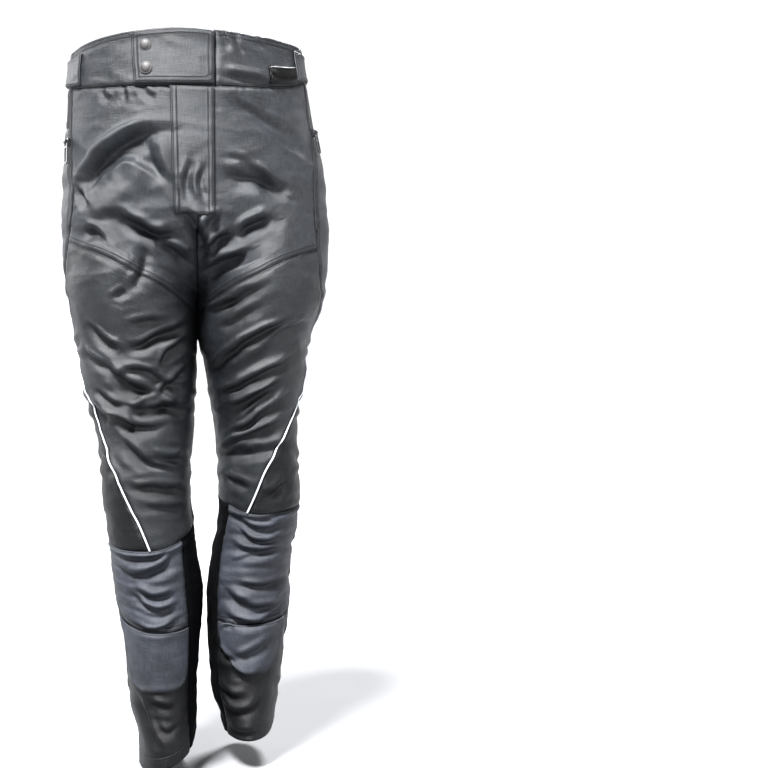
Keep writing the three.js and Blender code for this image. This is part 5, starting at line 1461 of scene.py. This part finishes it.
def woven(name, dark, light, pitch, deep, sockets, ripstop=0, grain=0.8):
    """Cloth of two sets of yarn: a plain weave in relief, uneven dye, and thicker yarns in a grid."""
    material, tree, shader = surface(name, sockets)
    warp = thread_wave(tree, 0, pitch)
    weft = thread_wave(tree, 1, pitch)
    weave = node(tree, "Math", {0: warp, 1: weft}, operation="MULTIPLY").outputs[0]
    if ripstop:
        bars = [thread_wave(tree, axis, ripstop) for axis in (0, 1)]
        highest = node(tree, "Math", {0: bars[0], 1: bars[1]}, operation="MAXIMUM").outputs[0]
        bar = node(tree, "Math", {0: highest, 1: 0.0}, operation="MAXIMUM").outputs[0]
        narrow = node(tree, "Math", {0: bar, 1: RIPSTOP["narrow"]}, operation="POWER").outputs[0]
        doubled = {0: narrow, 1: RIPSTOP["high"], 2: weave}
        weave = node(tree, "Math", doubled, operation="MULTIPLY_ADD").outputs[0]
    place = node(tree, "TexCoord").outputs["Object"]
    dye = node(tree, "TexNoise", {"Vector": place, **DYE}).outputs[0]
    crossed = node(tree, "Math", {
        0: slubs(tree, YARN_WIDE, YARN_LONG), 1: slubs(tree, YARN_LONG, YARN_WIDE),
    }, operation="ADD").outputs[0]
    yarn = node(tree, "Math", {0: crossed, 1: 0.5}, operation="MULTIPLY").outputs[0]
    faint = node(tree, "Math", {0: dye, 1: DYE_SHARE}, operation="MULTIPLY").outputs[0]
    share = node(tree, "Math", {0: yarn, 1: grain, 2: faint}, operation="MULTIPLY_ADD").outputs[0]
    ramp = node(tree, "MapRange", {
        "Value": share,
        "From Min": YARN_RANGE[0] * (grain + DYE_SHARE), "From Max": YARN_RANGE[1] * (grain + DYE_SHARE),
    }).outputs[0]
    raised = node(
        tree, "Math", {0: weave, 1: WEAVE_SHARE, 2: ramp}, operation="MULTIPLY_ADD", use_clamp=True,
    ).outputs[0]
    dyed = node(tree, "Mix", {0: raised, 6: tint(dark), 7: tint(light)}, data_type="RGBA").outputs[2]
    # Along the rows of stitches the colour is darkened towards black: painted shade in their grooves, which
    # the bump below also sinks.
    groove = stitched_grooves(tree)
    shade = node(tree, "Math", {0: groove, 1: GROOVE_SHADE}, operation="MULTIPLY").outputs[0]
    colour = node(tree, "Mix", {0: shade, 6: dyed, 7: (0, 0, 0, 1)}, data_type="RGBA").outputs[2]
    tree.links.new(colour, shader.inputs["Base Color"])
    coarse = {0: yarn, 1: YARN_RELIEF * grain, 2: weave}
    thick = node(tree, "Math", coarse, operation="MULTIPLY_ADD").outputs[0]
    relief = node(
        tree, "Math", {0: groove, 1: -GROOVE_DEEP / deep, 2: thick}, operation="MULTIPLY_ADD",
    ).outputs[0]
    rough = sockets["Roughness"]
    sheen = {"Value": dye, "To Min": rough - SHEEN_APART, "To Max": rough + SHEEN_APART}
    worn = node(tree, "MapRange", sheen).outputs[0]
    tree.links.new(worn, shader.inputs["Roughness"])
    bump = node(tree, "Bump", {"Height": relief, "Strength": 1.0, "Distance": deep * MM}).outputs[0]
    tree.links.new(bump, shader.inputs["Normal"])
    return material


def coated_nylon():
    # Polyamide yarn in a plain weave with a polyurethane coat: dark, with a soft satin shine on the folds.
    # The yarns are 0.5 mm apart; they are drawn 2 mm apart so that they show.
    return woven("coated_nylon", "#101214", "#2d3035", 2.0, 0.16,
                 {"Roughness": 0.43, "Specular IOR Level": 0.42})


def thigh_nylon():
    # The same cloth again, with painted shade: its colour is darkened, as the thighs lie darker than the
    # belly.
    return woven("thigh_nylon", "#0a0b0d", "#202327", 2.0, 0.16,
                 {"Roughness": 0.42, "Specular IOR Level": 0.42})


def painted_shade_nylon():
    # The same cloth darkened to near black as painted shade, with less shine: the outer thigh, the shin and
    # the outer calf.
    return woven("outer_thigh_nylon", "#050506", "#111214", 2.0, 0.16,
                 {"Roughness": 0.44, "Specular IOR Level": 0.24})


def ripstop_nylon():
    # The same yarn with a grid of doubled yarns, 5 mm apart as real ones are: it shows as fine squares.
    return woven("ripstop_nylon", "#191b1f", "#3c4045", 2.0, 0.2,
                 {"Roughness": 0.5, "Specular IOR Level": 0.3}, ripstop=5.0)


def grey_nylon():
    # Grey polyamide with the same coat, and its yarns drawn 2 mm apart too: lighter, with a flatter shine.
    return woven("grey_nylon", "#3d4148", "#62666e", 2.0, 0.18,
                 {"Roughness": 0.5, "Specular IOR Level": 0.3})


def stretch_cloth():
    # Nylon and elastane twill of the knees: a bluish dark grey, fine and slightly matt. Its threads are
    # 0.4 mm apart and are drawn 1.8 mm apart.
    return woven("stretch_twill", "#1c1d22", "#35383f", 1.8, 0.14,
                 {"Roughness": 0.48, "Specular IOR Level": 0.26}, grain=0.3)


def softshell():
    # Brushed polyester face of the inner leg: very dark, with no shine but a faint nap. Its knit is 0.4 mm
    # and is drawn 1.6 mm.
    return woven("brushed_softshell", "#030304", "#08090b", 1.6, 0.1,
                 {"Roughness": 0.85, "Specular IOR Level": 0.06})


def heavy_weave():
    # Coarse textured polyester of the calf: thick yarns that catch the light one by one. They are
    # 1 mm apart and are drawn 3.2 mm apart.
    return woven("heavy_polyester", "#060709", "#1c1e22", 3.2, 0.3,
                 {"Roughness": 0.52, "Specular IOR Level": 0.3})


def ribbed_elastic():
    # Knitted rubber and polyamide: near black in its valleys, with a satin crest on each rib. Its stitches
    # are 0.5 mm and are drawn 1.4 mm.
    return woven("ribbed_elastic", "#08090b", "#282a2e", 1.4, 0.12,
                 {"Roughness": 0.42, "Specular IOR Level": 0.3})


def loop_pile():
    # Brushed nylon loops 1.6 mm apart: a deep, matt pile that drinks the light.
    material, tree, shader = surface("loop_pile", {"Roughness": 0.95, "Specular IOR Level": 0.08})
    place = node(tree, "TexCoord").outputs["Object"]
    curls = node(tree, "TexVoronoi", {"Vector": place, "Scale": 620.0}).outputs["Distance"]
    tips, roots = tint("#14161a"), tint("#030304")
    colour = node(tree, "Mix", {0: curls, 6: tips, 7: roots}, data_type="RGBA").outputs[2]
    tree.links.new(colour, shader.inputs["Base Color"])
    bump = node(tree, "Bump", {"Height": curls, "Strength": 0.9, "Distance": 0.8 * MM}).outputs[0]
    tree.links.new(bump, shader.inputs["Normal"])
    return material


def grained(name, colour, sockets, scale, deep):
    """A hard or coated surface with a fine grain in relief."""
    material, tree, shader = surface(name, {"Base Color": tint(colour), **sockets})
    place = node(tree, "TexCoord").outputs["Object"]
    grain = node(tree, "TexNoise", {"Vector": place, "Scale": scale, "Detail": 3.0}).outputs[0]
    rough = sockets["Roughness"]
    worn = node(tree, "MapRange", {"Value": grain, "To Min": rough - 0.08, "To Max": rough + 0.08}).outputs[0]
    tree.links.new(worn, shader.inputs["Roughness"])
    bump = node(tree, "Bump", {"Height": grain, "Strength": 0.6, "Distance": deep * MM}).outputs[0]
    tree.links.new(bump, shader.inputs["Normal"])
    return material


def make_finishes():
    return {
        "black": coated_nylon(),
        # A copy of the coated cloth with painted shade, for the thighs.
        "thigh": thigh_nylon(),
        # A near-black copy of the coated cloth with painted shade, for the outer thigh, the shin and the outer
        # calf.
        "dark": painted_shade_nylon(),
        "seat": ripstop_nylon(),
        "grey": grey_nylon(),
        "knee": stretch_cloth(),
        "softshell": softshell(),
        "calf": heavy_weave(),
        "ribbed": ribbed_elastic(),
        "loop": loop_pile(),
        # Bonded polyester thread, slightly waxed.
        "thread": grained("bonded_thread", "#1b1d21", {"Roughness": 0.5}, 900.0, 0.05),
        # Glass beads in a clear film over the cord: pale and almost white under a lamp.
        "piping": grained(
            "reflective_film", "#c9ccd2", {"Roughness": 0.35, "Metallic": 0.25}, 1500.0, 0.04,
        ),
        # Nickel-plated brass, tumbled to a satin.
        "snap": grained("nickel_plate", "#585757", {"Roughness": 0.62, "Metallic": 1.0}, 700.0, 0.02),
        # Black polyurethane film, pressed on to the strap's end: it is glossy.
        "strap end": grained(
            "glossy_film", "#040405", {"Roughness": 0.3, "Specular IOR Level": 0.3}, 260.0, 0.1,
        ),
        # Woven polyester zip tape.
        "zip tape": grained("zip_tape", "#141519", {"Roughness": 0.75}, 1100.0, 0.15),
        # Moulded polyester coil.
        "coil": grained("zip_coil", "#191a1d", {"Roughness": 0.38}, 500.0, 0.02),
        # Zinc casting with baked black paint.
        "slider": grained(
            "black_painted_zinc", "#131417", {"Roughness": 0.34, "Coat Weight": 0.3}, 300.0, 0.02,
        ),
    }


def add_floor():
    # Matt studio paper. The lamps lift its grey to white.
    material = grained("studio_floor", "#727375", {"Roughness": 0.9}, 6.0, 0.2)
    mesh = bpy.data.meshes.new("floor")
    corners = [(FLOOR_HALF * x, FLOOR_HALF * y, FLOOR_Z) for x, y in ((-1, -1), (1, -1), (1, 1), (-1, 1))]
    mesh.from_pydata(corners, [], [(0, 1, 2, 3)])
    mesh.materials.append(material)
    floor = bpy.data.objects.new("floor", mesh)
    bpy.context.collection.objects.link(floor)


def add_lamp(name, place, strength, softness):
    """A large distant lamp: it lights the whole floor evenly, and its shadows are soft."""
    lamp = bpy.data.lights.new(name, "SUN")
    lamp.energy = strength
    lamp.angle = math.radians(softness)
    made = bpy.data.objects.new(name, lamp)
    made.location = place
    made.rotation_euler = Vector(place).to_track_quat("Z", "Y").to_euler()
    bpy.context.collection.objects.link(made)


def add_world():
    """White walls all round, as high as the camera sees, and a dim ceiling."""
    world = bpy.data.worlds.new("studio")
    world.use_nodes = True
    tree = world.node_tree
    backdrop = tree.nodes["Background"]
    backdrop.inputs["Color"].default_value = tint("#fdfdff")
    direction = node(tree, "TexCoord").outputs["Generated"]
    height = node(tree, "SeparateXYZ", {0: direction}).outputs["Z"]
    away = node(tree, "Math", {0: height}, operation="ABSOLUTE").outputs[0]
    glow = node(tree, "MapRange", {
        "Value": away, "From Min": WALL_TOP[0], "From Max": WALL_TOP[1],
        "To Min": 1.0, "To Max": CEILING_GLOW,
    }, interpolation_type="SMOOTHSTEP")
    tree.links.new(glow.outputs[0], backdrop.inputs["Strength"])
    bpy.context.scene.world = world


def add_camera():
    lens = bpy.data.cameras.new("camera")
    lens.sensor_width = 36.0
    lens.lens = CAMERA["lens"]
    made = bpy.data.objects.new("camera", lens)
    made.location = CAMERA["place"]
    made.rotation_euler = (math.radians(90), 0, math.radians(CAMERA["turn"]))
    bpy.context.collection.objects.link(made)
    bpy.context.scene.camera = made


def add_studio():
    add_floor()
    add_world()
    for name, lamp in LAMPS.items():
        add_lamp(name, *lamp)
    add_camera()
    bpy.context.scene.view_settings.view_transform = "Standard"
    bpy.context.scene.view_settings.look = "Medium High Contrast"


def make_trousers():
    finish = make_finishes()
    sewing = {"thread": [], "coil": []}
    seams = {}
    for side, word in SIDES:
        sheets, seams[side] = make_half(side, word, finish)
        for sheet in sheets:
            topstitch(sheet, sewing)
        topstitch(make_shin_patch(side, word, finish), sewing)
        add_piping(side, word, seams[side], finish)
        add_zip(side, word, seams[side], finish, sewing)
    for sheet in make_waistband(seams, finish):
        topstitch(sheet, sewing)
    topstitch(make_fly(finish), sewing)
    add_snaps(finish)
    sew_dashes("topstitching", sewing["thread"], finish["thread"], "black_nylon")
    sew_dashes("zip_coils", sewing["coil"], finish["coil"], "zip_black")
    for _, word in SIDES:
        for part in ("zip_slider", "zip_pull"):
            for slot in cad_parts[f"{part}_{word}"].material_slots:
                slot.material = finish["slider"]


make_trousers()
add_studio()
